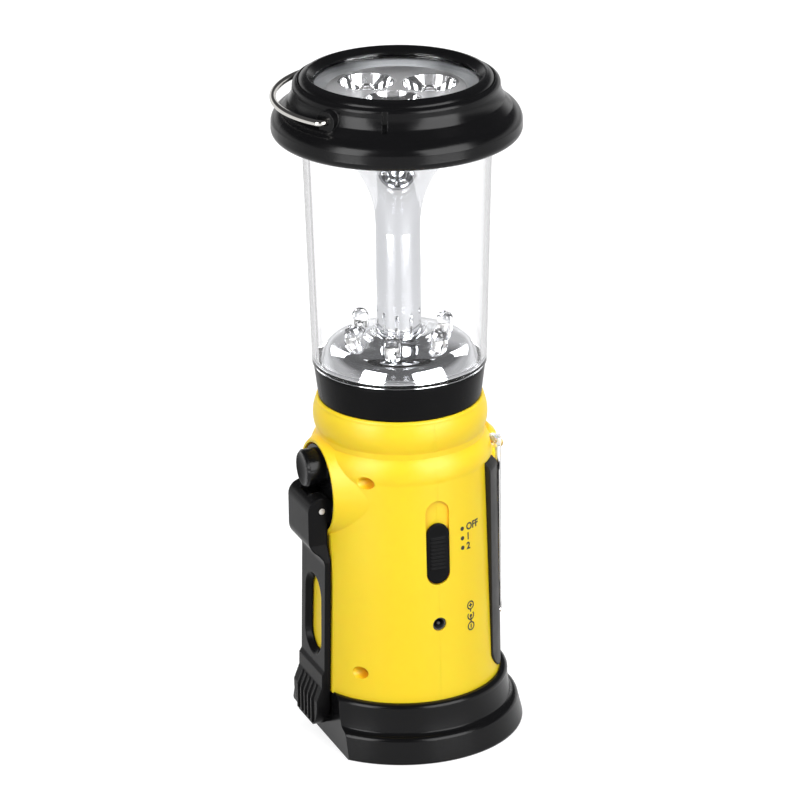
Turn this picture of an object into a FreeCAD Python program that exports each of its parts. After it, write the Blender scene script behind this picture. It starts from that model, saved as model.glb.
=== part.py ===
"""Emergency lantern radio: a torch head, a clear lantern globe, a radio and a hand crank in one housing.

Millimetres, +Z up. The origin is on the lantern's axis, in the plane of the floor.
The radio panel faces +X, the crank is on -X and the slide switch is on -Y.
"""
import FreeCAD, Part
import math
import os
import Sketcher

VECTOR = FreeCAD.Vector
DOC = FreeCAD.newDocument("LanternRadio")
SHEET = DOC.addObject("Spreadsheet::Sheet", "Sizes")

# Driving dimensions: name, value, what it is.
DIMENSIONS = [
    ("base_radius", 36.9, "foot of the base ring"),
    ("base_height", 17.8, "top lip of the base ring"),
    ("base_lip", 2.4, "base ring under its top lip, beyond the housing's foot"),
    ("base_flat", 27.5, "axis to the flat at the back of the base"),
    ("base_bore_radius", 25.8, "bore that takes the housing's spigot"),
    ("body_foot_radius", 29.8, "housing where it meets the base"),
    ("body_shoulder_radius", 27.7, "housing at the shoulder"),
    ("body_foot_z", 17.1, "lower edge of the housing"),
    ("shoulder_z", 94.0, "upper edge of the shoulder"),
    ("bead_radius", 26.5, "rounded bead above the shoulder"),
    ("groove_radius", 25.6, "groove under the bead"),
    ("body_top_z", 107.6, "upper edge of the housing"),
    ("shell_wall", 2.2, "wall of the housing"),
    ("seam_x", 0.9, "plane where the two housing halves meet"),
    ("spigot_depth", 5.0, "how far the housing reaches into the base"),
    ("fit_gap", 0.1, "gap between fixed pieces that plug together"),
    ("running_gap", 0.3, "gap round moving pieces"),
    ("collar_top_radius", 25.9, "collar at the globe"),
    ("collar_foot_radius", 24.7, "collar at the housing"),
    ("collar_height", 11.0, "black collar between housing and globe"),
    ("globe_foot_radius", 26.4, "clear globe at the collar"),
    ("globe_top_radius", 28.4, "clear globe at the head"),
    ("globe_wall", 1.6, "wall of the clear globe"),
    ("globe_height", 71.9, "clear globe"),
    ("brim_radius", 37.5, "widest part of the head"),
    ("brim_height", 4.4, "upright part of the brim"),
    ("head_height", 18.7, "head ring"),
    ("neck_radius", 31.0, "head ring above the brim"),
    ("head_bore_radius", 29.2, "bore of the head ring above its floor"),
    ("head_floor", 1.6, "floor of the head ring"),
    ("lens_radius", 25.9, "torch lens"),
    ("lens_thickness", 1.6, "torch lens"),
    ("lens_depth", 2.4, "crest of the head down to the lens"),
    ("cup_circle_radius", 10.8, "centres of the three torch cups"),
    ("cup_mouth_radius", 8.6, "mouth of a torch cup"),
    ("cup_throat_radius", 3.1, "throat of a torch cup"),
    ("cup_depth", 11.2, "torch cup"),
    ("led_radius", 2.5, "five millimetre lamp"),
    ("led_height", 8.6, "five millimetre lamp with its flange"),
    ("board_thickness", 1.6, "circuit boards"),
    ("lamp_circle_radius", 15.0, "centres of the six lantern lamps"),
    ("dish_radius", 23.6, "chrome dish under the globe"),
    ("lamp_legs", 5.5, "legs that hold the lantern lamps above their board"),
    ("column_radius", 6.7, "chrome column inside the globe"),
    ("column_wall", 1.0, "chrome column"),
    ("flare_radius", 25.2, "chrome column where it opens under the head"),
    ("bail_radius", 35.4, "centre line of the wire handle"),
    ("bail_wire", 2.0, "diameter of the wire handle"),
    ("bail_elbow", 1.6, "bend at each end of the wire handle"),
    ("bail_pivot_drop", 6.7, "crest of the head down to the handle's pivots"),
    ("bail_turn", 30.5, "direction of the handle's pivot line"),
    ("bail_droop", 1.0, "tilt of the handle folded down over the brim"),
    ("pivot_boss_radius", 3.3, "boss round each handle pivot"),
    ("pivot_boss_height", 2.5, "boss round each handle pivot"),
    ("crank_z", 80.9, "height of the crank's shaft"),
    ("rotor_radius", 13.2, "crank disc"),
    ("rotor_thickness", 3.1, "crank disc"),
    ("rotor_back", 22.9, "axis to the back face of the crank disc"),
    ("rim_width", 0.8, "raised rim round the crank disc"),
    ("rim_reach", 27.2, "axis to the face of the raised rim"),
    ("hub_radius", 5.9, "round hub on the crank disc"),
    ("hub_offset", 6.7, "hub above the crank's shaft"),
    ("hub_reach", 32.0, "axis to the face of the hub"),
    ("pin_drop", 4.5, "hinge pin below the crank's shaft"),
    ("pin_reach", 29.0, "axis to the hinge pin"),
    ("pin_radius", 1.0, "hinge pin"),
    ("pin_gap", 0.05, "radial gap of the hinge pin in its lug"),
    ("knuckle_radius", 4.4, "arm round its hinge pin"),
    ("lug_half_width", 3.4, "crank disc's lug between the arm's cheeks"),
    ("arm_head_half_width", 8.9, "crank arm at its head"),
    ("arm_half_width", 10.2, "crank arm below its head"),
    ("arm_reach", 77.0, "crank's shaft to the end of the arm"),
    ("arm_back", 27.0, "axis to the inner face of the arm"),
    ("arm_thickness", 1.7, "flat part of the crank arm"),
    ("arm_lean", 1.2, "how much further out the arm's end stands"),
    ("rear_flat", 26.6, "axis to the flat on the back of the housing"),
    ("finger_hole_length", 23.0, "opening in the crank arm"),
    ("finger_hole_width", 10.4, "opening in the crank arm"),
    ("finger_hole_z", 39.7, "centre of the opening in the crank arm"),
    ("shaft_radius", 2.0, "crank's shaft"),
    ("shaft_gap", 0.05, "radial gap of the shafts in their bearings"),
    ("wheel_module", 0.7, "tooth size of the crank's wheel"),
    ("wheel_teeth", 40, "teeth of the crank's wheel"),
    ("idler_pinion_teeth", 12, "small wheel of the idler"),
    ("wheel_width", 2.4, "width of the crank's wheel"),
    ("fast_module", 0.5, "tooth size of the second stage"),
    ("idler_wheel_teeth", 36, "large wheel of the idler"),
    ("generator_pinion_teeth", 12, "small wheel of the generator"),
    ("idler_wheel_width", 1.8, "width of the idler's large wheel"),
    ("mesh_gap", 0.12, "extra centre distance of meshing wheels"),
    ("gearbox_plate_wall", 1.2, "plate that carries the gear train"),
    ("generator_radius", 11.0, "generator can"),
    ("generator_length", 13.0, "generator can"),
    ("switch_z", 68.8, "centre of the switch recess"),
    ("switch_slot_length", 27.0, "recess of the slide switch"),
    ("switch_slot_width", 7.6, "recess of the slide switch"),
    ("switch_floor_reach", 26.9, "axis to the floor of the switch recess"),
    ("switch_seat_reach", 24.9, "axis to the back of the switch recess's floor"),
    ("switch_thumb_length", 19.4, "thumb piece in the switch recess"),
    ("switch_travel", 6.2, "travel of the slide switch"),
    ("jack_z", 42.4, "charger socket"),
    ("jack_hole_radius", 2.2, "charger socket's opening"),
    ("panel_half_angle", 45.0, "radio panel each side of its middle"),
    ("panel_top_rise", 1.9, "radio panel at its upper end, beyond the housing's shoulder"),
    ("panel_foot_rise", 0.4, "radio panel at its lower end, beyond the housing's foot"),
    ("panel_top_z", 88.6, "upper end of the radio panel"),
    ("panel_foot_z", 18.6, "lower end of the radio panel"),
    ("window_half_angle", 30.0, "window each side of its middle"),
    ("window_foot_z", 33.0, "lower edge of the window"),
    ("window_floor_radius", 25.8, "face under the window"),
    ("cover_radius", 30.9, "outside of the clear cover"),
    ("cover_wall", 1.3, "clear cover"),
    ("cover_top_z", 95.0, "tips of the clear cover's feet"),
    ("cover_curve_x", 5.0, "middle of the clear cover's curve"),
    ("cover_half_width", 13.9, "clear cover each side of its middle"),
    ("cover_pin_z", 91.8, "hinge line of the clear cover"),
    ("cover_pin_x", 26.6, "hinge line of the clear cover"),
    ("cover_pin_radius", 0.8, "hinge pins of the clear cover"),
    ("cover_knuckle_radius", 1.6, "clear cover round its hinge pins"),
    ("mound_radius", 8.4, "raised place round the push button"),
    ("mound_reach", 29.3, "axis to the face of the raised place"),
    ("button_z", 88.0, "push button"),
    ("button_radius", 5.2, "push button"),
    ("knob_z", 45.0, "tuning knob"),
    ("knob_radius", 7.0, "tuning knob"),
    ("knob_height", 2.6, "tuning knob above the window's face"),
    ("band_z", 59.5, "band switch"),
    ("band_y", 7.0, "band switch beside the middle of the panel"),
    ("band_size", 4.6, "square thumb of the band switch"),
    ("band_travel", 3.0, "travel of the band switch"),
    ("screw_y", 20.0, "housing screws beside the axis"),
    ("screw_low_z", 26.5, "lower housing screws"),
    ("screw_high_z", 88.4, "upper housing screws"),
    ("screw_radius", 1.3, "housing screws"),
    ("screw_head_radius", 1.95, "housing screws"),
]
for row, (alias, value, meaning) in enumerate(DIMENSIONS, start=1):
    SHEET.set(f"A{row}", meaning)
    SHEET.set(f"B{row}", str(value))
    SHEET.setAlias(f"B{row}", alias)
DOC.recompute()


class Size:
    """A length that keeps both its number and the sheet's words for it."""

    def __init__(self, text, value):
        self.text = text
        self.value = float(value)

    def __add__(self, other):
        other = sized(other)
        return Size(f"({self.text} + {other.text})", self.value + other.value)

    def __radd__(self, other):
        return sized(other) + self

    def __sub__(self, other):
        other = sized(other)
        return Size(f"({self.text} - {other.text})", self.value - other.value)

    def __rsub__(self, other):
        return sized(other) - self

    def __mul__(self, other):
        other = sized(other)
        return Size(f"({self.text} * {other.text})", self.value * other.value)

    def __rmul__(self, other):
        return sized(other) * self

    def __truediv__(self, other):
        other = sized(other)
        return Size(f"({self.text} / {other.text})", self.value / other.value)

    def __neg__(self):
        return Size(f"(0 - {self.text})", -self.value)

    def __float__(self):
        return self.value


def sized(number):
    """A plain number as a Size."""
    return number if isinstance(number, Size) else Size(repr(float(number)), number)


class Sheet:
    """The driving dimensions by name."""

    def __getattr__(self, alias):
        return Size(f"Sizes.{alias}", SHEET.get(alias))


d = Sheet()


def root_of(size):
    """The square root of a Size."""
    return Size(f"sqrt({size.text})", math.sqrt(size.value))


def bind(thing, **properties):
    """Ties properties of an object to the sheet."""
    for name, size in properties.items():
        thing.setExpression(name.replace("__", "."), sized(size).text)
    return thing


def place(thing, at, rotation=None):
    """Puts an object at a place tied to the sheet, with a fixed rotation."""
    thing.Placement = FreeCAD.Placement(VECTOR(*[float(value) for value in at]), rotation or FreeCAD.Rotation())
    for letter, size in zip("xyz", at):
        thing.setExpression(f"Placement.Base.{letter}", sized(size).text)
    return thing


TURN_TO_X = FreeCAD.Rotation(VECTOR(0, 1, 0), 90)
TURN_TO_MINUS_X = FreeCAD.Rotation(VECTOR(0, 1, 0), -90)
TURN_TO_Y = FreeCAD.Rotation(VECTOR(1, 0, 0), -90)
TURN_TO_MINUS_Y = FreeCAD.Rotation(VECTOR(1, 0, 0), 90)
FINISHED = []


def finish(label, thing):
    """Marks an object as a finished piece under its own label."""
    thing.Label = label
    FINISHED.append(thing)
    return thing


def box(name, sides, at):
    """A box from its lowest corner."""
    thing = DOC.addObject("Part::Box", name)
    bind(thing, Length=sides[0], Width=sides[1], Height=sides[2])
    return place(thing, at)


def rod(name, radius, length, at, rotation=None):
    """A cylinder from the middle of its first end."""
    thing = DOC.addObject("Part::Cylinder", name)
    bind(thing, Radius=radius, Height=length)
    return place(thing, at, rotation)


def taper(name, first, second, length, at, rotation=None):
    """A cone with flat ends."""
    thing = DOC.addObject("Part::Cone", name)
    bind(thing, Radius1=first, Radius2=second, Height=length)
    return place(thing, at, rotation)


def ball(name, radius, at):
    """A sphere."""
    thing = DOC.addObject("Part::Sphere", name)
    bind(thing, Radius=radius)
    return place(thing, at)


def cut(name, base, *tools):
    """The base without the tools."""
    tool = tools[0] if len(tools) == 1 else fuse(name + "Tools", *tools)
    thing = DOC.addObject("Part::Cut", name)
    thing.Base = base
    thing.Tool = tool
    return thing


def fuse(name, *pieces):
    """Several pieces as one."""
    thing = DOC.addObject("Part::MultiFuse", name)
    thing.Shapes = list(pieces)
    thing.Refine = True
    return thing


def common(name, *pieces):
    """What all the pieces share."""
    thing = DOC.addObject("Part::MultiCommon", name)
    thing.Shapes = list(pieces)
    return thing


def group(name, pieces):
    """Several separate solids in one node."""
    thing = DOC.addObject("Part::Compound", name)
    thing.Links = list(pieces)
    return thing


def draw(sketch, outline):
    """Draws a closed outline. A point is (across, up) or (across, up, radius) for an arc that ends there.

    A positive radius bulges to the left of the way from the last point, a negative one to the right.
    """
    count = len(outline)
    numbers = [(float(point[0]), float(point[1])) for point in outline]
    ends = []
    for index in range(count):
        start = VECTOR(*numbers[index - 1], 0)
        end = VECTOR(*numbers[index], 0)
        if len(outline[index]) == 2:
            sketch.addGeometry(Part.LineSegment(start, end), False)
            ends.append((1, 2))
            continue
        radius = float(outline[index][2])
        chord = end - start
        rise = abs(radius) - math.sqrt(max(radius * radius - chord.Length ** 2 / 4, 0.0))
        left = VECTOR(-chord.y, chord.x, 0).normalize()
        middle = (start + end) / 2 + left * math.copysign(rise, radius)
        sketch.addGeometry(Part.Arc(start, middle, end), False)
        first = sketch.getPoint(index, 1)
        ends.append((1, 2) if (first - start).Length < (first - end).Length else (2, 1))
    for index in range(count):
        follower = (index + 1) % count
        sketch.addConstraint(Sketcher.Constraint("Coincident", index, ends[index][1], follower, ends[follower][0]))
    for index, point in enumerate(outline):
        for kind, size in (("DistanceX", point[0]), ("DistanceY", point[1])):
            size = sized(size)
            if size.value < 0:
                reach = sketch.addConstraint(
                    Sketcher.Constraint(kind, index, ends[index][1], -1, 1, -size.value))
                sketch.setExpression(f"Constraints[{reach}]", (-size).text)
            else:
                reach = sketch.addConstraint(
                    Sketcher.Constraint(kind, -1, 1, index, ends[index][1], size.value))
                sketch.setExpression(f"Constraints[{reach}]", size.text)
        if len(point) == 3:
            radius = sized(point[2])
            radius = -radius if radius.value < 0 else radius
            reach = sketch.addConstraint(Sketcher.Constraint("Radius", index, radius.value))
            sketch.setExpression(f"Constraints[{reach}]", radius.text)


def sketch_on(body, name, plane):
    """A sketch on one of the body's own origin planes."""
    sketch = body.newObject("Sketcher::SketchObject", name)
    origin_plane = [item for item in body.Origin.OriginFeatures if item.Role == plane][0]
    sketch.AttachmentSupport = [(origin_plane, "")]
    sketch.MapMode = "FlatFace"
    return sketch


def turned(name, outline, angle=360):
    """A body turned about the Z axis from an outline of (radius, height) points."""
    body = DOC.addObject("PartDesign::Body", name)
    sketch = sketch_on(body, name + "Outline", "XZ_Plane")
    draw(sketch, outline)
    turn = body.newObject("PartDesign::Revolution", name + "Turn")
    turn.Profile = sketch
    turn.ReferenceAxis = (sketch, ["V_Axis"])
    turn.Midplane = True
    bind(turn, Angle=angle)
    body.Tip = turn
    return body


def slab(name, plane, outline, thickness):
    """A body padded to both sides of an origin plane, thickness in all."""
    body = DOC.addObject("PartDesign::Body", name)
    sketch = sketch_on(body, name + "Outline", plane)
    draw(sketch, outline)
    pad = body.newObject("PartDesign::Pad", name + "Pad")
    pad.Profile = sketch
    pad.Midplane = True
    bind(pad, Length=thickness)
    body.Tip = pad
    return body


def pan(name, radius, outline_angle, low, high):
    """A wedge of a cylinder round the Z axis, centred on +X."""
    outline = [(0, low), (radius, low), (radius, high), (0, high)]
    return turned(name, outline, outline_angle)


# Heights that follow from the driving dimensions.
collar_top_z = d.body_top_z + d.collar_height
globe_top_z = collar_top_z + d.globe_height
crest_z = globe_top_z + d.head_height
floor_top_z = globe_top_z + d.head_floor
lens_top_z = crest_z - d.lens_depth
lens_low_z = lens_top_z - d.lens_thickness
bail_pivot_z = crest_z - d.bail_pivot_drop
TALL = 400.0


# Housing: one turned shell with a spigot that plugs into the base, cut into a front and a rear half.
bead_z = d.shoulder_z + 3.4
bead_half_chord = (d.body_top_z - 1.2 - bead_z) / 2
bead_rise = d.bead_radius - d.groove_radius
bead_arc = (bead_half_chord * bead_half_chord + bead_rise * bead_rise) / (2 * bead_rise)
spigot_radius = d.base_bore_radius - d.fit_gap
spigot_low_z = d.body_foot_z - d.spigot_depth
housing_outline = [
    (0, spigot_low_z),
    (spigot_radius, spigot_low_z),
    (spigot_radius, d.body_foot_z),
    (d.body_foot_radius, d.body_foot_z),
    (d.body_shoulder_radius, d.shoulder_z - 6),
    (d.groove_radius, d.shoulder_z + 1.6, -10),
    (d.groove_radius, bead_z),
    (d.groove_radius, d.body_top_z - 1.2, -bead_arc),
    (d.groove_radius - 0.6, d.body_top_z, -1.4),
    (0, d.body_top_z),
]
inner_foot = d.body_foot_radius - d.shell_wall
inner_shoulder = d.body_shoulder_radius - d.shell_wall
spigot_bore = spigot_radius - d.shell_wall
cavity_outline = [
    (0, spigot_low_z - 1),
    (spigot_bore, spigot_low_z - 1),
    (spigot_bore, d.body_foot_z + d.shell_wall),
    (inner_foot, d.body_foot_z + d.shell_wall + 3),
    (inner_shoulder, d.shoulder_z - 7),
    (d.groove_radius - d.shell_wall, d.shoulder_z),
    (d.groove_radius - d.shell_wall, d.body_top_z - d.shell_wall),
    (0, d.body_top_z - d.shell_wall),
]
flat_foot = d.base_flat + 0.1


def back_of_flat(name, reach):
    """Everything behind the flat at the back of the housing, moved inwards by reach."""
    outline = [
        (-(d.rear_flat - reach), d.shoulder_z + 2),
        (-(d.rear_flat - reach), 52),
        (-(flat_foot - reach), d.body_foot_z - 0.1),
        (-60, d.body_foot_z - 0.1),
        (-60, d.shoulder_z + 2),
    ]
    return slab(name, "XZ_Plane", outline, 80)


def along_x(name, radius, reach_from, reach_to, y, z):
    """A cylinder on the crank side, between two distances behind the axis."""
    return rod(name, radius, reach_to - reach_from, (-reach_from, y, z), TURN_TO_MINUS_X)


recess_radius = d.rotor_radius + 0.6
recess_floor = d.rotor_back - 0.4
recess_wall = 2.0
rim_radius = recess_radius + d.rim_width
housing = turned("HousingForm", housing_outline)
cavity = turned("HousingCavity", cavity_outline)
outer_form = cut("HousingFlatted", housing, back_of_flat("RearFlat", sized(0)))
inner_form = cut("CavityFlatted", cavity, back_of_flat("RearFlatInside", sized(2.0)))
cone_reach = sized(18.4)
rim_cone = taper("CrankRim", rim_radius + 6.4, rim_radius, d.rim_reach - cone_reach,
                 (-cone_reach, 0, d.crank_z), TURN_TO_MINUS_X)
recess_seat = along_x("RecessSeat", rim_radius + 0.6, recess_floor - recess_wall, d.rim_reach, 0, d.crank_z)
recess = along_x("CrankRecess", recess_radius, recess_floor, 60, 0, d.crank_z)
shaft_hole = along_x("ShaftHole", d.shaft_radius + d.shaft_gap, 10, 30, 0, d.crank_z)
outer_with_rim = fuse("HousingWithRim", outer_form, common("RimInReach", rim_cone, box(
    "RimLimit", (45, 60, 60), (-63, -30, d.crank_z - 30))))
rear_half_space = box("RearHalf", (60 + d.seam_x, 120, TALL), (-60, -60, 0))
front_half_space = box("FrontHalf", (60 - d.seam_x, 120, TALL), (d.seam_x, -60, 0))
shell = cut("ShellWall", outer_with_rim, inner_form)


# Openings that both halves share: the switch recess with its stem slot, and the charger socket.
def stadium(name, width, length, depth, x, y, z):
    """An upright stadium pushed along +Y from y, centred on (x, z)."""
    half = (length - width) / 2
    middle = box(name + "Middle", (width, depth, half * 2), (x - width / 2, y, z - half))
    low = rod(name + "Low", width / 2, depth, (x, y, z - half), TURN_TO_Y)
    high = rod(name + "High", width / 2, depth, (x, y, z + half), TURN_TO_Y)
    return fuse(name, middle, low, high)


thumb_low_z = d.switch_z - d.switch_slot_length / 2 + 0.4
thumb_z = thumb_low_z + d.switch_thumb_length / 2
stem_half = 2.0
block_half = 5.0
switch_case_reach = d.switch_seat_reach - 2.2
switch_recess = stadium("SwitchRecess", d.switch_slot_width, d.switch_slot_length, 34 - d.switch_floor_reach,
                        d.seam_x, -34, d.switch_z)
stem_slot = box("StemSlot", (2.8, 16, 2 * stem_half + d.switch_travel + 0.6),
                (d.seam_x - 1.4, -34, thumb_z - stem_half - 0.3))
switch_posts = [box("SwitchPost" + name, (3.0, d.switch_seat_reach + 0.1 - switch_case_reach - 0.02, 2.0),
                    (d.seam_x - 1.5, -(d.switch_seat_reach + 0.1), low))
                for name, low in (("Low", thumb_z - block_half - 3.0),
                                  ("High", thumb_z + block_half + d.switch_travel + 1.0))]
switch_seat = fuse("SwitchSeat", box("SwitchSeatWall", (12, d.switch_floor_reach - 0.1 - d.switch_seat_reach, 34),
                                     (d.seam_x - 6, -(d.switch_floor_reach - 0.1), d.switch_z - 17)), *switch_posts)
jack_hole = rod("JackHole", d.jack_hole_radius, 14, (d.seam_x, -34, d.jack_z), TURN_TO_Y)


# Screw bosses stand inside the shell; the heads sink into round recesses in the rear half.
def screw_places():
    """The four housing screws as (name, y, z)."""
    for side, y in (("Near", -d.screw_y), ("Far", d.screw_y)):
        for level, z in (("Low", d.screw_low_z), ("High", d.screw_high_z)):
            yield side + level, y, z


bosses = []
screw_recesses = []
screw_holes = []
for name, y, z in screw_places():
    bosses.append(along_x("Boss" + name, d.screw_head_radius + 1.0, -24, 24, y, z))
    screw_recesses.append(along_x("ScrewRecess" + name, d.screw_head_radius, 14, 40, y, z))
    screw_holes.append(along_x("ScrewHole" + name, d.screw_radius, -10.5, 20, y, z))
boss_block = common("BossesInside", fuse("Bosses", *bosses), outer_form)

rear_solid = fuse("RearSolid", common("RearWall", shell, rear_half_space),
                  common("RearSeat", recess_seat, outer_with_rim),
                  common("RearSwitchSeat", switch_seat, rear_half_space),
                  common("RearBosses", boss_block, rear_half_space))
rear_shell = finish("rear_shell", cut("RearShell", rear_solid, recess, shaft_hole, switch_recess, stem_slot, jack_hole,
                                      *screw_recesses, *screw_holes))

# Front half: the window under the clear cover is a sunk face with a wall of its own.
window_angle = 2 * d.window_half_angle
window_top_z = d.button_z - d.button_radius - 3.2
window_back = d.window_floor_radius - 2.0
window_wall = common("WindowWall", outer_form,
                     cut("WindowPan", pan("WindowOuter", 28.6, window_angle + 6, d.window_foot_z - 2.6,
                                          d.button_z + d.button_radius + 2),
                         rod("WindowCore", window_back, TALL, (0, 0, 0))))
window_recess = cut("WindowRecess", pan("WindowCut", 40, window_angle, d.window_foot_z, window_top_z),
                    rod("WindowFace", d.window_floor_radius, TALL, (0, 0, 0)))
button_hole = rod("ButtonHole", d.button_radius + 0.3, 20, (22, 0, d.button_z), TURN_TO_X)
knob_hole = rod("KnobHole", d.shaft_radius + d.shaft_gap, 12, (20, 0, d.knob_z), TURN_TO_X)
band_slot = box("BandSlot", (12, 2.0, d.band_travel + 2.4),
                (20, d.band_y - 1.0, d.band_z - 1.2))


def grille_slot(index):
    """One of the curved slots in front of the loudspeaker."""
    reach = 5.0 + 2.3 * index
    centre_z = d.band_z + 1.5
    deep = cut(f"GrilleTube{index}", rod(f"GrilleOuter{index}", reach + 0.45, 12, (19, -3.0, centre_z), TURN_TO_X),
               rod(f"GrilleInner{index}", reach - 0.45, 12, (19, -3.0, centre_z), TURN_TO_X))
    keep = box(f"GrilleKeep{index}", (14, 11, 16), (18, -11.0, centre_z + 2.5))
    return common(f"GrilleSlot{index}", deep, keep)


grille = [grille_slot(index) for index in range(4)]
mound = common("ButtonMound", rod("MoundForm", d.mound_radius, 20, (22, 0, d.button_z), TURN_TO_X),
               turned("MoundFace", [
                   (0, d.window_foot_z),
                   (d.mound_reach, d.window_foot_z),
                   (d.mound_reach, d.cover_pin_z + 1.1),
                   (d.mound_reach - 1.6, d.cover_pin_z + 2.4),
                   (0, d.cover_pin_z + 2.4),
               ]))
board_front_x = 6.1
post_places = [(-15.5, 55.0), (15.5, 55.0), (-13.0, 31.0), (13.0, 31.0)]
posts = common("BoardPosts", fuse("PostForms", *[
    rod(f"BoardPost{index}", 1.8, 30, (board_front_x, y, z), TURN_TO_X)
    for index, (y, z) in enumerate(post_places)]), outer_form)
button_posts = fuse("ButtonPosts", *[rod(f"ButtonPost{name}", 1.5, 5.6, (17, y, d.button_z), TURN_TO_X)
                                     for name, y in (("Near", -8.2), ("Far", 8.2))])
front_solid = fuse("FrontSolid", common("FrontWall", shell, front_half_space), window_wall, mound, posts, button_posts,
                   common("FrontSwitchSeat", switch_seat, front_half_space),
                   common("FrontBosses", boss_block, front_half_space))
cover_pin_hole = rod("CoverPinHole", d.cover_pin_radius + 0.02, 40, (d.cover_pin_x, -20, d.cover_pin_z), TURN_TO_Y)
knuckle_rooms = [rod("KnuckleRoom" + side, d.cover_knuckle_radius + d.running_gap,
                     d.cover_half_width - d.mound_radius - d.running_gap + 2.0, (d.cover_pin_x, start, d.cover_pin_z),
                     TURN_TO_Y)
                 for side, start in (("Far", d.mound_radius),
                                     ("Near", -(d.cover_half_width - d.running_gap + 2.0)))]
finish("front_shell", cut("FrontShell", front_solid, window_recess, button_hole, knob_hole, band_slot,
                          switch_recess, stem_slot, jack_hole, cover_pin_hole, *knuckle_rooms, *grille,
                          *screw_holes))


# Housing screws, driven from the rear recesses along +X.
def housing_screw(name, y, z):
    """One housing screw in its recess."""
    shank = along_x("Shank" + name, d.screw_radius - 0.02, -9, 14.6, y, z)
    head = along_x("Head" + name, d.screw_head_radius - 0.15, 14, 15.6, y, z)
    socket_one = box("SocketOne" + name, (1.0, 0.6, 2.6), (-15.8, y - 0.3, z - 1.3))
    socket_two = box("SocketTwo" + name, (1.0, 2.6, 0.6), (-15.8, y - 1.3, z - 0.3))
    return cut("Screw" + name, fuse("ScrewBody" + name, shank, head), socket_one, socket_two)


finish("housing_screws", group("HousingScrews", [housing_screw(*entry) for entry in screw_places()]))

# Base ring: a flared foot with a step, cut flat behind so that the crank arm can pass.
base_step_z = d.base_height * 0.47
base_waist_radius = d.body_foot_radius + d.base_lip
step_run = d.base_radius - 3.0 - (base_waist_radius + 0.9)
step_rise = 0.065
step_arc = ((step_run * step_run + 0.49) / 4 + step_rise * step_rise) / (2 * step_rise)
base_outline = [
    (d.base_bore_radius, 0),
    (d.base_radius - 0.5, 0),
    (d.base_radius, 0.8, -0.7),
    (d.base_radius - 1.5, base_step_z - 1.2),
    (d.base_radius - 3.0, base_step_z, -1.8),
    (base_waist_radius + 0.9, base_step_z + 0.7, step_arc),
    (base_waist_radius, d.base_height - 2.0, 30),
    (base_waist_radius - 1.4, d.base_height, -1.6),
    (d.body_foot_radius + 0.3, d.base_height),
    (d.body_foot_radius + 0.1, d.body_foot_z - 0.02),
    (d.base_bore_radius, d.body_foot_z - 0.02),
]
base_form = turned("BaseForm", base_outline)
base_back = box("BaseBack", (40, 120, 60), (-d.base_flat - 40, -60, -20))
plate_seat_z = 1.0
plate_top_z = 3.0
plate_seat = rod("PlateSeat", d.base_bore_radius + 2.0, plate_top_z, (0, 0, 0))
base_back_wall = box("BaseBackWall", (60, 120, 60), (-d.base_flat + 1.6 - 60, -60, -20))
finish("base_ring", cut("BaseRing", base_form, base_back, cut("PlateRoom", plate_seat, base_back_wall)))

# Base plate: a flat disc cut off at the back, with the groove of the battery hatch and three screw holes.
plate_form = rod("PlateForm", d.base_bore_radius + 1.8, plate_top_z - plate_seat_z - 0.05, (0, 0, plate_seat_z))
plate_back = box("PlateBack", (60, 120, 60), (-d.base_flat + 1.8 - 60, -60, -20))
hatch_groove = cut("HatchGroove", box("HatchOuter", (27, 37, 0.7), (-13.5, -18.5, plate_seat_z - 0.1)),
                   box("HatchInner", (25.8, 35.8, 2), (-12.9, -17.9, plate_seat_z - 1)))
plate_screw_circle = d.base_bore_radius - 3.6
plate_screw_angles = (60, 180, 300)


def round_place(radius, angle, z):
    """A place on a circle round the axis, the angle in degrees from +X."""
    across = Size(f"({radius.text} * cos({angle} deg))", radius.value * math.cos(math.radians(angle)))
    along = Size(f"({radius.text} * sin({angle} deg))", radius.value * math.sin(math.radians(angle)))
    return across, along, sized(z)


plate_holes = [rod(f"PlateHole{angle}", 1.2, 6, round_place(plate_screw_circle, angle, 0))
               for angle in plate_screw_angles]
finish("base_plate", cut("BasePlate", cut("PlateTrimmed", plate_form, plate_back), hatch_groove, *plate_holes))
plate_screws = []
for angle in plate_screw_angles:
    across, along, low = round_place(plate_screw_circle, angle, 0.35)
    head = rod(f"PlateScrewHead{angle}", 2.0, 0.64, (across, along, low))
    shank = rod(f"PlateScrewShank{angle}", 1.15, 5, (across, along, low))
    slot = box(f"PlateScrewSlot{angle}", (3, 0.6, 0.3), (across - 1.5, along - 0.3, low))
    plate_screws.append(cut(f"PlateScrew{angle}", fuse(f"PlateScrewBody{angle}", head, shank), slot))
finish("base_screws", group("BaseScrews", plate_screws))

# Collar ring between housing and globe.
globe_foot_z = collar_top_z - 3.0
collar_outline = [
    (d.collar_foot_radius - 3.0, d.body_top_z),
    (d.collar_foot_radius, d.body_top_z),
    (d.collar_top_radius, collar_top_z - 1.4),
    (d.collar_top_radius, collar_top_z),
    (d.collar_top_radius - 1.3, collar_top_z),
    (d.collar_top_radius - 1.3, globe_foot_z - 1.2),
    (d.collar_foot_radius - 3.0, globe_foot_z - 3.0),
]
finish("collar_ring", turned("CollarRing", collar_outline))

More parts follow.
